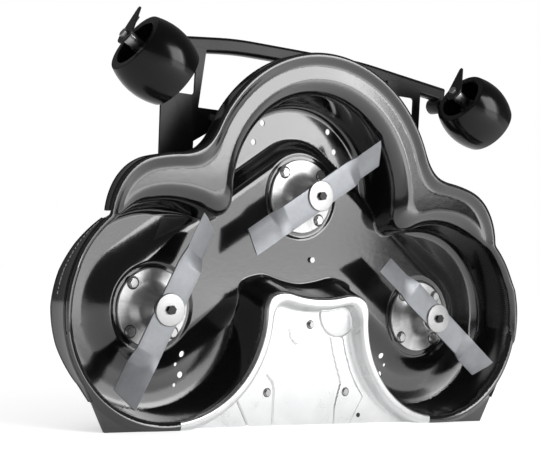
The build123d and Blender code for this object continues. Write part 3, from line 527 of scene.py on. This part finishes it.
def shell_depth(x, z):
    """Depth of the pressed surface behind the rim plane, seen from the open side."""
    shelf = rim_profile(edge_field(x, z))
    foot, share = island_foot(x, z), wall_share(x, z)
    floor = shelf + pit_depth(x, z) - DISH_DEPTH * np.clip(1 + foot / DISH_REACH, 0, 1) ** 2
    wall = shelf + WALL_DEPTH * island_wall(share) + WALL_FALL * np.clip(-foot, 0, WALL_REACH)
    rear_edge = (1 - fade(z, start=350, width=100)) * (1 - fade(np.abs(x), start=100, width=120))
    blend = (WALL_BLEND + REAR_EDGE_BLEND * rear_edge) * fade(share, start=0, width=0.3) + TINY
    return smin(smin(floor, plateau_depth(x, z), FLANK_BLEND), wall, blend)


# Sheets made from the fields


def outline_of(field, centre, reach, count, spacing):
    """Closed outline where a field is zero, found along rays and spaced evenly."""
    angles = np.linspace(0, 2 * pi, count, endpoint=False)
    ray_x, ray_z = np.cos(angles), np.sin(angles)
    steps = np.linspace(0, reach, 260)
    f = field(centre[0] + np.outer(ray_x, steps), centre[1] + np.outer(ray_z, steps))
    first = np.argmax(f < 0, axis=1)
    rows = np.arange(count)
    f0, f1 = f[rows, first - 1], f[rows, first]
    s = steps[first - 1] + (steps[first] - steps[first - 1]) * f0 / (f0 - f1)
    nudge, least_slope, longest_step = 0.01, 1e-3, 2
    for _ in range(3):
        px, pz = centre[0] + s * ray_x, centre[1] + s * ray_z
        here = field(px, pz)
        slope = (field(px + nudge * ray_x, pz + nudge * ray_z) - here) / nudge
        slope = np.where(np.abs(slope) < least_slope, -least_slope, slope)
        s = s - np.clip(here / slope, -longest_step, longest_step)
    pts = np.stack((centre[0] + s * ray_x, centre[1] + s * ray_z), 1)
    ring = np.vstack((pts, pts[:1]))
    along = np.concatenate(([0], np.cumsum(np.linalg.norm(np.diff(ring, axis=0), axis=1))))
    even = np.linspace(0, along[-1], int(along[-1] / spacing), endpoint=False)
    return np.stack((np.interp(even, along, ring[:, 0]), np.interp(even, along, ring[:, 1])), 1)


def cut_off(field, below, half=np.inf):
    """A field that ends below the floor line and at both sides, so that its outline is closed."""
    return lambda x, z: np.minimum(np.minimum(field(x, z), z + below), half - np.abs(x))


def circle_of(at, r, count, start=0.0):
    a = np.linspace(0, 2 * pi, count, endpoint=False) + start
    return np.stack((at[0] + r * np.cos(a), at[1] + r * np.sin(a)), 1)


def brick_grid(top, half, rise, pitch, bottom=2):
    """Rows of points from the floor line up, every other row shifted by half a pitch."""
    rows = []
    for k, z in enumerate(np.arange(bottom, top, rise)):
        x = np.arange(-half, half + 1, pitch) + pitch / 2 * (k % 2)
        rows.append(np.stack((x, np.full_like(x, z)), 1))
    return rows


def thinned(cloud, gap):
    """Points in their order of rank, without those nearer than a gap to one kept before."""
    grid, kept = {}, []
    for x, z in cloud.tolist():
        i, j = int(x // gap), int(z // gap)
        near = (p for di in (-1, 0, 1) for dj in (-1, 0, 1) for p in grid.get((i + di, j + dj), ()))
        if all((x - px) ** 2 + (z - pz) ** 2 > gap * gap for px, pz in near):
            grid.setdefault((i, j), []).append((x, z))
            kept.append((x, z))
    return np.array(kept)


def triangulated(outer, holes, points, keep):
    """Triangles over an area: closed loops as edges, loose points inside, tested by their middle."""
    verts, edges = [], []
    for loop in [outer] + holes:
        start = len(verts)
        verts += loop.tolist()
        n = len(loop)
        edges += [(start + k, start + (k + 1) % n) for k in range(n)]
    verts += points.tolist()
    out_v, _, out_f, _, _, _ = delaunay_2d_cdt([Vector(v) for v in verts], edges, [], 0, 1e-5)
    flat = np.array([tuple(v) for v in out_v])
    tris = np.array([f for f in out_f if len(f) == 3])
    mid = flat[tris].mean(axis=1)
    tris = tris[keep(mid[:, 0], mid[:, 1])]
    used, index = np.unique(tris, return_inverse=True)
    return flat[used], index.reshape(tris.shape)


def unit(vectors, least=0.0):
    return vectors / (np.linalg.norm(vectors, axis=-1, keepdims=True) + least)


def pressed(name, flat, tris, depth, thick, material, node):
    """A pressed sheet of the deck: a depth map over flat triangles, with thickness and true normals."""
    x, z = flat[:, 0], flat[:, 1]
    step, least = 0.4, 1e-9
    gx = (depth(x + step, z) - depth(x - step, z)) / (2 * step)
    gz = (depth(x, z + step) - depth(x, z - step)) / (2 * step)
    n = unit(np.stack((gx, -np.ones_like(gx), gz), 1))
    front = np.stack((x, depth(x, z), z), 1)
    back = front - n * thick
    a, b, c = front[tris[:, 0]], front[tris[:, 1]], front[tris[:, 2]]
    facing = np.einsum("ij,ij->i", np.cross(b - a, c - a), n[tris[:, 0]]) > 0
    tris = np.where(facing[:, None], tris, tris[:, ::-1])
    edges = np.vstack((tris[:, [0, 1]], tris[:, [1, 2]], tris[:, [2, 0]]))
    _, first, times = np.unique(np.sort(edges, axis=1), axis=0, return_index=True, return_counts=True)
    border = edges[first[times == 1]]
    border_at = np.unique(border)
    count, border_count = len(x), len(border_at)
    seat = {int(v): 2 * count + k for k, v in enumerate(border_at)}
    away = np.zeros((count, 3))
    for p, q in border:
        side = unit(np.cross(front[q] - front[p], n[p]), least)
        away[p] += side
        away[q] += side
    edge_n = unit(away[border_at], least)
    verts = np.vstack((front, back, front[border_at], back[border_at]))
    faces = tris.tolist() + (tris[:, ::-1] + count).tolist()
    for p, q in border.tolist():
        faces.append([seat[q], seat[p], seat[p] + border_count, seat[q] + border_count])
    piece(name, verts, faces, material, "deck", [node], normals=np.vstack((n, -n, edge_n, edge_n)))


# Deck shell and its lip

roof_holes = [(s * x, z, r) for s in (-1, 1) for x, z, r in (
    (302, 159, ROOF_HOLE_R), (316, 135, SMALL_HOLE_R), (302, 111, ROOF_HOLE_R), (316, 87, SMALL_HOLE_R),
    (101, 723, ROOF_HOLE_R), (124, 674, ROOF_HOLE_R))]


def in_shell(x, z, gap):
    """Whether points lie in the shell's sheet, clear of its edges and holes by a gap."""
    in_opening = (island_field(x, z) > OPENING_INSET - gap) & (np.abs(x) < BAFFLE_HALF + gap)
    ok = (deck_field(x, z) > gap) & ~in_opening
    for hx, hz, r in roof_holes:
        ok &= np.hypot(x - hx, z - hz) > r + gap
    for bx, bz in SPINDLES.values():
        ok &= np.hypot(x - bx, z - bz) > HOUSING_BORE_R + gap
    return ok


def shell_points():
    """Points for the shell's mesh: rows along its folds first, then rings, then a plain grid."""
    points = []
    for inset in (-12, -8, -4, 1.5, 3.5, 6.0, 9.0, 13.0, 18.0, 23.0, 28.0):
        row = cut_off(lambda x, z: edge_field(x, z) - inset, below=40)
        points.append(outline_of(row, DECK_MIDDLE, DECK_REACH, count=3000, spacing=5.0))

    def round_bay(field):
        row = cut_off(field, below=30, half=SPINDLE_X)
        points.append(outline_of(row, BAY_MIDDLE, BAY_REACH, count=2000, spacing=4.0))
    for share in (0.03, 0.08, 0.14, 0.5, 0.8, 0.87, 0.93, 0.98):
        round_bay(lambda x, z: share - wall_share(x, z))
    for off in (-14, -8, -4, -1.5):
        round_bay(lambda x, z: island_foot(x, z) - off)
    for off in (2, 5):
        round_bay(lambda x, z: island_field(x, z) - off)
    seat_rings, mouth_rings = np.arange(94, 113, 3.0), np.arange(206, 231, 2.6)
    roll_rings, shelf_rings = np.arange(231.5, 247, 1.6), np.arange(248, 286, 4.0)
    ring_spacing, ring_shift = 5.5, 0.013
    for at in SPINDLES.values():
        for k, r in enumerate(np.concatenate((seat_rings, mouth_rings, roll_rings, shelf_rings))):
            points.append(circle_of(at, r, int(2 * pi * r / ring_spacing), ring_shift * (k % 2)))
    return np.vstack(points + brick_grid(top=892, half=664, rise=5.4, pitch=6.2))


def make_shell():
    outer = outline_of(deck_field, DECK_MIDDLE, DECK_REACH, count=4000, spacing=4.0)
    bay = cut_off(lambda x, z: island_field(x, z) - OPENING_INSET, below=20, half=BAFFLE_HALF)
    opening = outline_of(bay, BAFFLE_MIDDLE, BAFFLE_REACH, count=2400, spacing=4.0)
    holes = [circle_of((x, z), r, HOLE_STEPS) for x, z, r in roof_holes]
    bores = [circle_of(at, HOUSING_BORE_R, BORE_STEPS) for at in SPINDLES.values()]
    cloud = shell_points()
    cloud = thinned(cloud[in_shell(cloud[:, 0], cloud[:, 1], gap=1.2)], gap=1.5)
    flat, tris = triangulated(outer, [opening] + holes + bores, cloud, lambda x, z: in_shell(x, z, gap=0.0))
    pressed("shell", flat, tris, shell_depth, DECK_SHEET, mats["shell"], "deck_shell")


make_shell()


def lip_line():
    """Points along the rim where its edge turns back, and the way out of the deck at each."""
    edge = cut_off(lambda x, z: np.maximum(edge_field(x, z), corner_field(x, z)), below=40)
    line = outline_of(edge, DECK_MIDDLE, DECK_REACH, count=4000, spacing=5.0)
    run = unit(np.roll(line, -1, axis=0) - np.roll(line, 1, axis=0))
    return line, np.stack((run[:, 1], -run[:, 0]), 1)


LIP_HEIGHTS = [60, 110, 180, 265, 340, 400, 440, 458, 466, 520, 600]
LIP_DEPTHS = [17, 46, 66, 74, 67, 50, 32, 22, 30, 34, 42]
LIP_FOOT_Z = 62
LIP_GAP_Z, LIP_GAP_R = 463, 8
lip_at, lip_out = lip_line()


def lip_depth(z):
    """Depth of the turned edge: deepest beside the outer spindles, shallow where the lobes end."""
    return np.interp(z, LIP_HEIGHTS, LIP_DEPTHS)


def make_lip():
    """Turned edge behind the rim: a bead near its front, a rolled hem, a gap where shoulder meets lobe."""
    from_gap = np.hypot(np.abs(lip_at[:, 0]) - SHOULDER_SIDE_X, lip_at[:, 1] - LIP_GAP_Z)
    gone = (from_gap < LIP_GAP_R) | (lip_at[:, 1] < LIP_FOOT_Z)
    verts, faces = [], []
    for (px, pz), (ox, oz) in zip(lip_at, lip_out):
        end = float(lip_depth(pz))
        section = rounded([(0.2, 3.0), (0.2, 5.5), (2.4, 7.0), (2.4, 8.6), (0.2, 10.0), (0.2, end - 3.5),
                           (2.2, end - 2.4), (1.0, end), (-3.3, end - 1.0), (-3.3, 6.0)], radii=1.0, steps=3)
        n = len(section)
        verts += [(px + ox * off, y, pz + oz * off) for off, y in section]
    count = len(lip_at)
    for k in range(count):
        j = (k + 1) % count
        if gone[k] or gone[j]:
            continue
        for i in range(n):
            h = (i + 1) % n
            faces.append((k * n + i, j * n + i, j * n + h, k * n + h))
        if gone[k - 1]:
            faces.append(tuple(k * n + i for i in range(n)))
        if gone[(j + 1) % count]:
            faces.append(tuple(j * n + i for i in reversed(range(n))))
    piece("shell_lip", verts, faces, mats["shell"], "deck", (), angle=40)


make_lip()


# Rear baffle

BAFFLE_EDGE_DEPTH = 12.0
CREASE_WIDTH, CREASE_DEPTH = 1.7, 1.3
POCKET_AT, POCKET_R, POCKET_CROWN_R = (82, 268), 54, 57
POCKET_RISE, PAD_RISE = 4, 3
PAD_EDGE = [0, 40, 58, 100, 137, 174, 212], [84, 84, 88, 99, 84, 70, 60]
PAD_BRACE = [5, 66, 96, 130, 174, 217], [135, 170, 146, 126, 108, 96]
DRAIN_PLUG_AT = (163, 20)

bead = profile_of([(-5, BAFFLE_EDGE_DEPTH), (0.0, BAFFLE_EDGE_DEPTH), (0.8, 0.0), (24.0, 0.0),
                   (30.0, BAFFLE_PANEL_DEPTH), (FAR, BAFFLE_PANEL_DEPTH)], [0.5, 10, 11, 7])
baffle_field = cut_off(island_field, below=0, half=BAFFLE_HALF)


def crease(x, z, *line):
    """One along a pressed line through points, falling off at its sides."""
    away = np.min([to_segment(x, z, a, b) for a, b in zip(line, line[1:])], axis=0)
    return np.exp(-(away / CREASE_WIDTH) ** 2)


def baffle_depth(x, z):
    """Depth of the baffle: a bead round a sunk panel with a pocket, a pad and pressed lines."""
    y = bead(island_field(x, z))
    panel = fade(y, start=30, width=6)
    from_pocket = np.hypot(x - POCKET_AT[0], z - POCKET_AT[1])
    crown = np.clip(1 - (from_pocket / POCKET_CROWN_R) ** 2, 0, 1)
    pocket = POCKET_RISE * (1 - fade(from_pocket, POCKET_R, width=4)) + POCKET_RISE * crown
    from_edge, from_brace = x - np.interp(z, *PAD_EDGE), x - np.interp(z, *PAD_BRACE)
    pad = (PAD_RISE * fade(from_edge, start=0, width=3) * (1 - fade(from_brace, start=0, width=5))
           * (1 - fade(z, start=208, width=6)))
    marks = (crease(x, z, (-61, 226), (-56, 208), (-44, 195), (-35, 191))
             + crease(x, z, (-199, 59), (-167, 4))
             + crease(x, z, (-118, 118), (-101, 100), (-97, 84), (-96, 5))
             + crease(x, z, (-61, 268), (-64, 243)) / 3)
    return y - panel * (np.maximum(pocket, pad) - CREASE_DEPTH * marks)


def make_baffle():
    outer = outline_of(baffle_field, BAFFLE_MIDDLE, BAFFLE_REACH, count=3000, spacing=3.0)
    points = []
    for inset in (0.4, 1.2, 2.2, 3.4, 5.0, 7, 9.5, 13, 17, 20,
                  22, 24, 25.2, 26.4, 27.6, 28.8, 30, 31.5, 34, 37):
        row = cut_off(lambda x, z: island_field(x, z) - inset, below=30)
        points.append(outline_of(row, BAY_MIDDLE, BEAD_REACH, count=2000, spacing=4.0))
    cloud = np.vstack(points + brick_grid(top=320, half=BAFFLE_HALF, rise=2.6, pitch=3.0))
    clear_of_edge = 0.3
    cloud = thinned(cloud[baffle_field(cloud[:, 0], cloud[:, 1]) > clear_of_edge], gap=0.9)
    flat, tris = triangulated(outer, [], cloud, lambda x, z: baffle_field(x, z) > 0)
    pressed("baffle", flat, tris, baffle_depth, BAFFLE_SHEET, mats["galvanised"], "rear_baffle")


make_baffle()
plug = rounded([(0, 35.0), (4.0, 35.0), (5.6, 36.0), (5.6, 37.5), (0, 37.5)], radii=0.5, steps=3)
turned("drain_plug", plug, DRAIN_PLUG_AT, mats["spacer"], "deck", (), count=32)


# Spindles and blades

BLADE_TIP, BLADE_HALF, BLADE_HALF_SHEET, BLADE_DEPTH = 233, 32.0, 2.5, 27.0
BEND_START, BEND_LENGTH, BEND_TWIST, BEND_LIFT = 108, 34, 22, 6
BEND_ROWS = (104, 144)
TIP_RAKE, TIP_START = 0.36, 150
GRIND_SHARE = 0.75
BLADE_HEADINGS = {"left": 64.5, "centre": 33.7, "right": -36.0}

SHAFT_R, BEARING_R, PULLEY_R, GROOVE_R = 12.6, 26, 75, 62
GROOVE_DEPTH, GROOVE_PITCH, GROOVE_MOUTH, GROOVE_FLOOR = 178, 24, 8.5, 4.3
PULLEY_BACK = {"left": 190.0, "centre": 214.0, "right": 190.0}
PULLEY_GROOVES = {"left": 1, "centre": 2, "right": 1}


def bezier(a, b, c, count=16):
    t = np.linspace(0, 1, count)[:, None]
    a, b, c = (np.array(p, float) for p in (a, b, c))
    return (1 - t) ** 2 * a + 2 * t * (1 - t) * b + t * t * c


def make_blade(side, at, heading):
    """Bar with flat middle; each arm twists and lifts, and has a raked tip and a ground edge."""
    bend_from, bend_to = BEND_ROWS
    stations = np.unique(np.concatenate((np.linspace(0, bend_from, 7), np.linspace(bend_from, bend_to, 17),
                                         np.linspace(bend_to, BLADE_TIP, 14))))
    stations = np.concatenate((-stations[:0:-1], stations))
    w, h = BLADE_HALF, BLADE_HALF_SHEET
    section = rounded([(0, h), (w, h), (w, -h), (-w, -h), (-w, h), (0, h)], radii=0.9, steps=3)[:-1]
    section = np.vstack([np.linspace(p, q, 4, endpoint=False)
                         for p, q in zip(section, np.roll(section, -1, axis=0))])
    verts, faces = [], []
    n, count = len(section), len(stations)
    for s in stations:
        sign = 1.0 if s >= 0 else -1.0
        bent = min(max((abs(s) - BEND_START) / BEND_LENGTH, 0), 1)
        twist, lift = radians(BEND_TWIST) * bent, BEND_LIFT * bent
        for w, h in section:
            across = w * sign
            tip = min(BLADE_TIP - TIP_RAKE * (BLADE_HALF - across), sqrt(BLADE_TIP ** 2 - across ** 2))
            along = abs(s) * (1 + (tip / BLADE_TIP - 1) * fade(abs(s), TIP_START, BLADE_TIP - TIP_START))
            ground = fade(across, start=14, width=18) * fade(abs(s), start=140, width=20)
            h = h * (1 - GRIND_SHARE * ground)
            y = BLADE_DEPTH + lift + h * cos(twist) - across * sin(twist)
            z = across * cos(twist) + h * sin(twist)
            verts.append((along * sign, y, z * sign))
    for k in range(count - 1):
        for i in range(n):
            j = (i + 1) % n
            faces.append((k * n + i, k * n + j, (k + 1) * n + j, (k + 1) * n + i))
    faces.append(tuple(range(n)))
    faces.append(tuple((count - 1) * n + i for i in range(n)))
    piece(side + "_blade_bar", placed(verts, at, -heading), faces, mats["blade"], side + "_blade_set",
          [side + "_blade"], angle=38)


def make_spindle(side, at):
    """Housing with a flared trumpet, blade washer, spacer and belt pulley on one axis."""
    body = side + "_blade_set"
    trumpet = rounded([(20, 57), (BEARING_R, 57), (BEARING_R, 42), (31, 42), (33, 44), (33, 54)],
                      radii=0.8, steps=3)
    flare = bezier((33, 54), (33, 94), (64, 100))
    flange = rounded([(64, 100), (89, 100), (91, 102), (91, 106), (40, 106), (40, 160), (BEARING_R, 160),
                      (BEARING_R, 145), (20, 145)], radii=[1.2, 1.0, 0.4, 3.0, 1.0, 0.6, 0.3], steps=3)
    turned(side + "_housing", np.vstack((trumpet, flare[1:], flange[1:])), at,
           mats[side + "_housing"], "deck", [side + "_spindle_housing"], count=128)
    washer = rounded([(6.1, 20), (35.6, 20), (37, 21.4), (37, 24.5), (6.1, 24.5)], radii=0.5, steps=3)
    turned(side + "_washer", washer, at, mats["washer"], body, [side + "_blade_washer"])
    spacer = rounded([(SHAFT_R, 29.5), (26, 29.5), (26, 41.5), (SHAFT_R, 41.5)], radii=0.8, steps=3)
    turned(side + "_spacer_ring", spacer, at, mats["spacer"], body, [side + "_spindle_spacer"],
           count=64)
    grooves = []
    for k in range(PULLEY_GROOVES[side]):
        y = GROOVE_DEPTH + GROOVE_PITCH * k
        grooves += [(PULLEY_R, y - GROOVE_MOUTH), (GROOVE_R, y - GROOVE_FLOOR),
                    (GROOVE_R, y + GROOVE_FLOOR), (PULLEY_R, y + GROOVE_MOUTH)]
    back = PULLEY_BACK[side]
    sheave = [(SHAFT_R, 160.5), (24, 160.5), (24, 175.5), (57, 175.5), (57, 166), (PULLEY_R, 166), *grooves,
              (PULLEY_R, back), (57, back), (57, 180.5), (24, 180.5), (24, back), (SHAFT_R, back)]
    turned(side + "_sheave", rounded(sheave, radii=0.9, steps=3), at, mats["pulley"], body,
           [side + "_pulley"])


for side, at in SPINDLES.items():
    make_spindle(side, at)
    make_blade(side, at, BLADE_HEADINGS[side])


# Caster wheels

WHEEL_R, WHEEL_CROWN, WHEEL_HALF, CROWN_STEPS = 86, 14, 62, 41
WHEEL_FROM_STEM = (0, -16, -40)
CASTER_X, CASTER_Z, CASTER_TURN = 476, 836, 31


def make_wheel(side, sign):
    """Barrel wheel with open ends and a thick hub."""
    crown = [(WHEEL_R - WHEEL_CROWN * (x / WHEEL_HALF) ** 2, x)
             for x in np.linspace(-WHEEL_HALF, WHEEL_HALF, CROWN_STEPS)]
    shoulder_rolls = [2.0, 16.0]
    outer = rounded([(50, -10), (55, -WHEEL_HALF), *crown, (55, WHEEL_HALF), (50, 10)],
                    shoulder_rolls + [0] * (CROWN_STEPS - 2) + shoulder_rolls[::-1], steps=10)
    hub = rounded([(50, 10), (22, 10), (22, 34), (8.1, 34), (8.1, -34), (22, -34), (22, -10), (50, -10)],
                  radii=2.5, steps=4)
    verts, faces = revolved(np.vstack((outer, hub[1:])), count=128)
    verts = np.stack((verts[:, 1], verts[:, 0], verts[:, 2]), 1) + np.array(WHEEL_FROM_STEM)
    piece(side + "_ball", placed(verts, (sign * CASTER_X, CASTER_Z), CASTER_TURN), faces, mats["wheel"],
          side + "_wheel", [side + "_caster_wheel"], angle=50)


for side, sign in (("left", -1), ("right", 1)):
    make_wheel(side, sign)


# Small pieces that repeat, set on points by Geometry Nodes


class Growth(Nodes):
    """A geometry tree that sets copies of a small shape on an object's points."""

    def __init__(self, name, sizes):
        group = bpy.data.node_groups.new(name, "GeometryNodeTree")
        super().__init__(group)
        face = group.interface
        face.new_socket("Seats", in_out="INPUT", socket_type="NodeSocketGeometry")
        self.sizes = {}
        for label, value in sizes.items():
            made = face.new_socket(label, in_out="INPUT", socket_type="NodeSocketFloat")
            self.sizes[made.identifier] = value
        face.new_socket("Pieces", in_out="OUTPUT", socket_type="NodeSocketGeometry")
        start = group.nodes.new("NodeGroupInput")
        self.seats = Socket(self, start.outputs["Seats"])
        self.size = {label: Socket(self, start.outputs[label]) for label in sizes}

    def finish(self, shape, material, **placing):
        copies = self.node("GeometryNodeInstanceOnPoints",
                           named={"Points": self.seats, "Instance": shape, **placing})
        real = self.node("GeometryNodeRealizeInstances", copies)
        self.node("NodeGroupOutput", self.node("GeometryNodeSetMaterial", real, named={"Material": material}))

    def grown(self, name, points, slot, headings=None):
        """Plain mesh of all copies, riding on the deck; headings turn them about the depth axis."""
        mesh = bpy.data.meshes.new(name)
        mesh.from_pydata((np.asarray(points, float) * MM).tolist(), [], [])
        if headings is not None:
            mesh.attributes.new("heading", "FLOAT", "POINT").data.foreach_set("value", headings)
        obj = in_scene(name, mesh)
        modifier = obj.modifiers.new("growth", "NODES")
        modifier.node_group = self.tree
        for identifier, value in self.sizes.items():
            modifier[identifier] = value
        plain = bpy.data.meshes.new_from_object(obj.evaluated_get(bpy.context.evaluated_depsgraph_get()))
        obj.modifiers.remove(modifier)
        obj.data = plain
        plain.name = name
        plain.polygons.foreach_set("use_smooth", [True] * len(plain.polygons))
        plain.set_sharp_from_angle(angle=radians(30))
        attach(obj, "deck")


FACING = (pi / 2, 0.0, 0.0)
COLLAR_TAPER, COLLAR_SIDES = 0.78, 40
BEAD_SEED, BEAD_SHORTEST = 7, 0.35
RANDOM_LOW, RANDOM_HIGH, RANDOM_FLOAT = 2, 3, 1


def collar_growth(name, radius, height, material):
    """Coned collars that face the open side of the deck."""
    tree = Growth(name, {"Collar radius": radius * MM, "Collar height": height * MM})
    rim = tree.size["Collar radius"]
    cone = tree.node("GeometryNodeMeshCone",
                     named={"Vertices": COLLAR_SIDES, "Radius Top": rim * COLLAR_TAPER,
                            "Radius Bottom": rim, "Depth": tree.size["Collar height"]})
    tree.finish(tree.node("GeometryNodeTransform", cone, named={"Rotation": FACING}), material)
    return tree


def bead_growth(name, radius, length, material):
    """Short beads of uneven length along a seam."""
    tree = Growth(name, {"Bead radius": radius * MM, "Bead length": length * MM})
    thick = tree.size["Bead radius"]
    ball = tree.node("GeometryNodeMeshUVSphere", named={"Segments": 10, "Rings": 6, "Radius": thick})
    share = tree.node("FunctionNodeRandomValue", output=RANDOM_FLOAT, data_type="FLOAT",
                      named={RANDOM_LOW: BEAD_SHORTEST, RANDOM_HIGH: 1.0, "Seed": BEAD_SEED})
    stretch = tree.node("ShaderNodeCombineXYZ", 1.0, 1.0, share * tree.size["Bead length"] / thick)
    heading = tree.node("GeometryNodeInputNamedAttribute", named={"Name": "heading"}, data_type="FLOAT")
    tree.finish(ball, material, Scale=stretch, Rotation=tree.node("ShaderNodeCombineXYZ", 0.0, heading, 0.0))
    return tree


FLANGE_BOLT_R, FLANGE_DEPTH = 77.5, 99.8
housing_seats = [(cx + FLANGE_BOLT_R * cos(radians(45 + 90 * k)), FLANGE_DEPTH,
                  cz + FLANGE_BOLT_R * sin(radians(45 + 90 * k)))
                 for cx, cz in SPINDLES.values() for k in range(4)]
baffle_seats = [(0, BAFFLE_PANEL_DEPTH, 240), (-116, BAFFLE_PANEL_DEPTH, 78),
                (116, BAFFLE_PANEL_DEPTH - PAD_RISE, 78)]
# The thin black rings under the collars are painted shade: black discs that stand in for the contact shade
# round the bolt heads.
for tree, radius, height, look, name, seats, slot in (
        ("dark_rings", 15.5, 0.8, "spacer", "housing_bolt_shade_rings", housing_seats, "spacer_black"),
        ("collars", 13.5, 3.2, "bolt", "housing_bolt_collars", housing_seats, "fastener_zinc"),
        ("small_rings", 11.0, 0.7, "spacer", "baffle_bolt_shade_rings", baffle_seats, "spacer_black"),
        ("small_collars", 9.6, 2.2, "bolt", "baffle_bolt_collars", baffle_seats, "fastener_zinc")):
    collar_growth(tree, radius, height, mats[look]).grown(name, seats, slot)

# Bright beads along the lip are a painted highlight: bare-metal dots set where the lip shows a broken line of
# light.
SEAM_LOW, SEAM_HIGH, SEAM_X = 285, 452, 570
SEAM_STAND_OFF, SEAM_DEPTH_SHARE, SEAM_EVERY = 0.4, 0.64, 2
on_lobe = (lip_at[:, 1] > SEAM_LOW) & (lip_at[:, 1] < SEAM_HIGH) & (np.abs(lip_at[:, 0]) > SEAM_X)
seam_at, seam_out = lip_at[on_lobe][::SEAM_EVERY], lip_out[on_lobe][::SEAM_EVERY]
stand_off = seam_at + SEAM_STAND_OFF * seam_out
seam = np.stack((stand_off[:, 0], SEAM_DEPTH_SHARE * lip_depth(seam_at[:, 1]), stand_off[:, 1]), 1)
bead_growth("seam_welds", radius=1.3, length=5.5, material=mats["weld"]).grown(
    "lip_glint_beads", seam, "shell_paint", np.arctan2(-seam_out[:, 1], seam_out[:, 0]))


# Model pieces that keep their own mesh: softened edges and a finish each

finish_of = {"bracket_paint": "bracket", "fastener_zinc": "bolt", "axle_zinc": "bolt",
             "shaft_steel": "shaft", "bearing_steel": "shaft", "belt_rubber": "belt",
             "spring_steel": "spring", "idler_steel": "idler"}
slot_of = {p["node"]: p["material_slot"] for p in frame["record"]["subparts"]}
for node, obj in frame["nodes"].items():
    if obj.hide_render:
        continue
    look = "dark_bolt" if node.endswith("_blade_bolt") else finish_of[slot_of[node]]
    obj.data.materials.clear()
    obj.data.materials.append(mats[look])
    weld = obj.modifiers.new("weld", "WELD")
    weld.merge_threshold = 1e-5
    soft = obj.modifiers.new("soft_edges", "BEVEL")
    soft.width = 0.6 * MM
    soft.segments = 2
    soft.limit_method = "ANGLE"
    soft.angle_limit = radians(40)
    soft.harden_normals = True


# Camera, floor and light, in metres

camera = in_scene("camera", bpy.data.cameras.new("camera"))
bpy.context.scene.camera = camera
right = Vector((0.81803171, -0.57238409, 0.05657369))
down = Vector((0.06709294, -0.00272867, -0.99774300))
ahead = Vector((0.57124659, 0.81998111, 0.03617079))
eye = Vector((-1.79124, -2.34121, 0.36500))
camera.matrix_world = Matrix((*zip(right, -down, -ahead, eye), (0, 0, 0, 1)))
camera.data.lens = 82.26
camera.data.sensor_width = 36.0

PALE, PALER = (0.9, 0.9, 0.9), (0.92, 0.92, 0.92)
BLACK, WHITE = (0.0, 0.0, 0.0), (1.0, 1.0, 1.0)
RAYS = ("Is Camera Ray", "Is Glossy Ray")
FLOOR_HALF = 30
floor_mat = Material("floor")
floor_mat.feed("Base Color", floor_mat.mixed(floor_mat.noise(scale=3.0).ramp(0.3, 0.7), PALE, PALER))
floor_mat.feed("Roughness", 0.9)
floor_mat.feed("Specular IOR Level", 0.0)
mirrored_floor = floor_mat.axis("X").ramp(-1.0, 0.8, 0.12, 0.62)
by_camera, by_gloss = (floor_mat.node("ShaderNodeLightPath", output=ray) for ray in RAYS)
floor_mat.feed("Emission Color", floor_mat.mixed(by_camera + mirrored_floor * by_gloss, BLACK, WHITE))
floor_mat.feed("Emission Strength", 0.5)
floor_mesh = bpy.data.meshes.new("floor")
floor_corners = ((-1, -1), (1, -1), (1, 1), (-1, 1))
floor_mesh.from_pydata([(x * FLOOR_HALF, y * FLOOR_HALF, 0) for x, y in floor_corners], [], [(0, 1, 2, 3)])
floor_mesh.materials.append(floor_mat.data)
floor = in_scene("floor", floor_mesh)


AIM = (0.0, 0.0, 0.45)


def softbox(name, place, width, height, power):
    """Soft rectangular lamp that is aimed at the deck and not seen itself."""
    lamp = bpy.data.lights.new(name, "AREA")
    lamp.shape = "RECTANGLE"
    lamp.size, lamp.size_y = width, height
    lamp.energy = power
    obj = in_scene(name, lamp)
    obj.location = place
    obj.visible_camera = False
    obj.rotation_mode = "QUATERNION"
    obj.rotation_quaternion = (Vector(AIM) - Vector(place)).to_track_quat("-Z", "Y")


softbox("upper_right_box", (1.55, -3.0, 1.75), width=1.8, height=1.9, power=57)
softbox("upper_edge_box", (2.80, -3.0, 1.75), width=0.7, height=1.9, power=7)
softbox("lower_right_box", (1.55, -3.0, 0.42), width=2.0, height=0.75, power=11)

FILL, BACKDROP = 0.6, 1.0
world = bpy.data.worlds.new("studio")
bpy.context.scene.world = world
world.use_nodes = True
world.node_tree.nodes.clear()
sky = Nodes(world.node_tree)
heading = sky.node("ShaderNodeTexCoord", output="Generated")
toward_back = sky.node("ShaderNodeSeparateXYZ", heading, output="Y")
mirrored, fill, backdrop = (sky.node("ShaderNodeBackground", (*WHITE, 1.0), strength)
                            for strength in (toward_back.ramp(-0.3, 0.6, 0.07, 0.14), FILL, BACKDROP))
by_camera, by_gloss = (sky.node("ShaderNodeLightPath", output=ray) for ray in RAYS)
lit = sky.node("ShaderNodeMixShader", by_gloss, fill, mirrored)
whole = sky.node("ShaderNodeMixShader", by_camera, lit, backdrop)
sky.node("ShaderNodeOutputWorld", whole)
bpy.context.scene.view_settings.view_transform = "Standard"
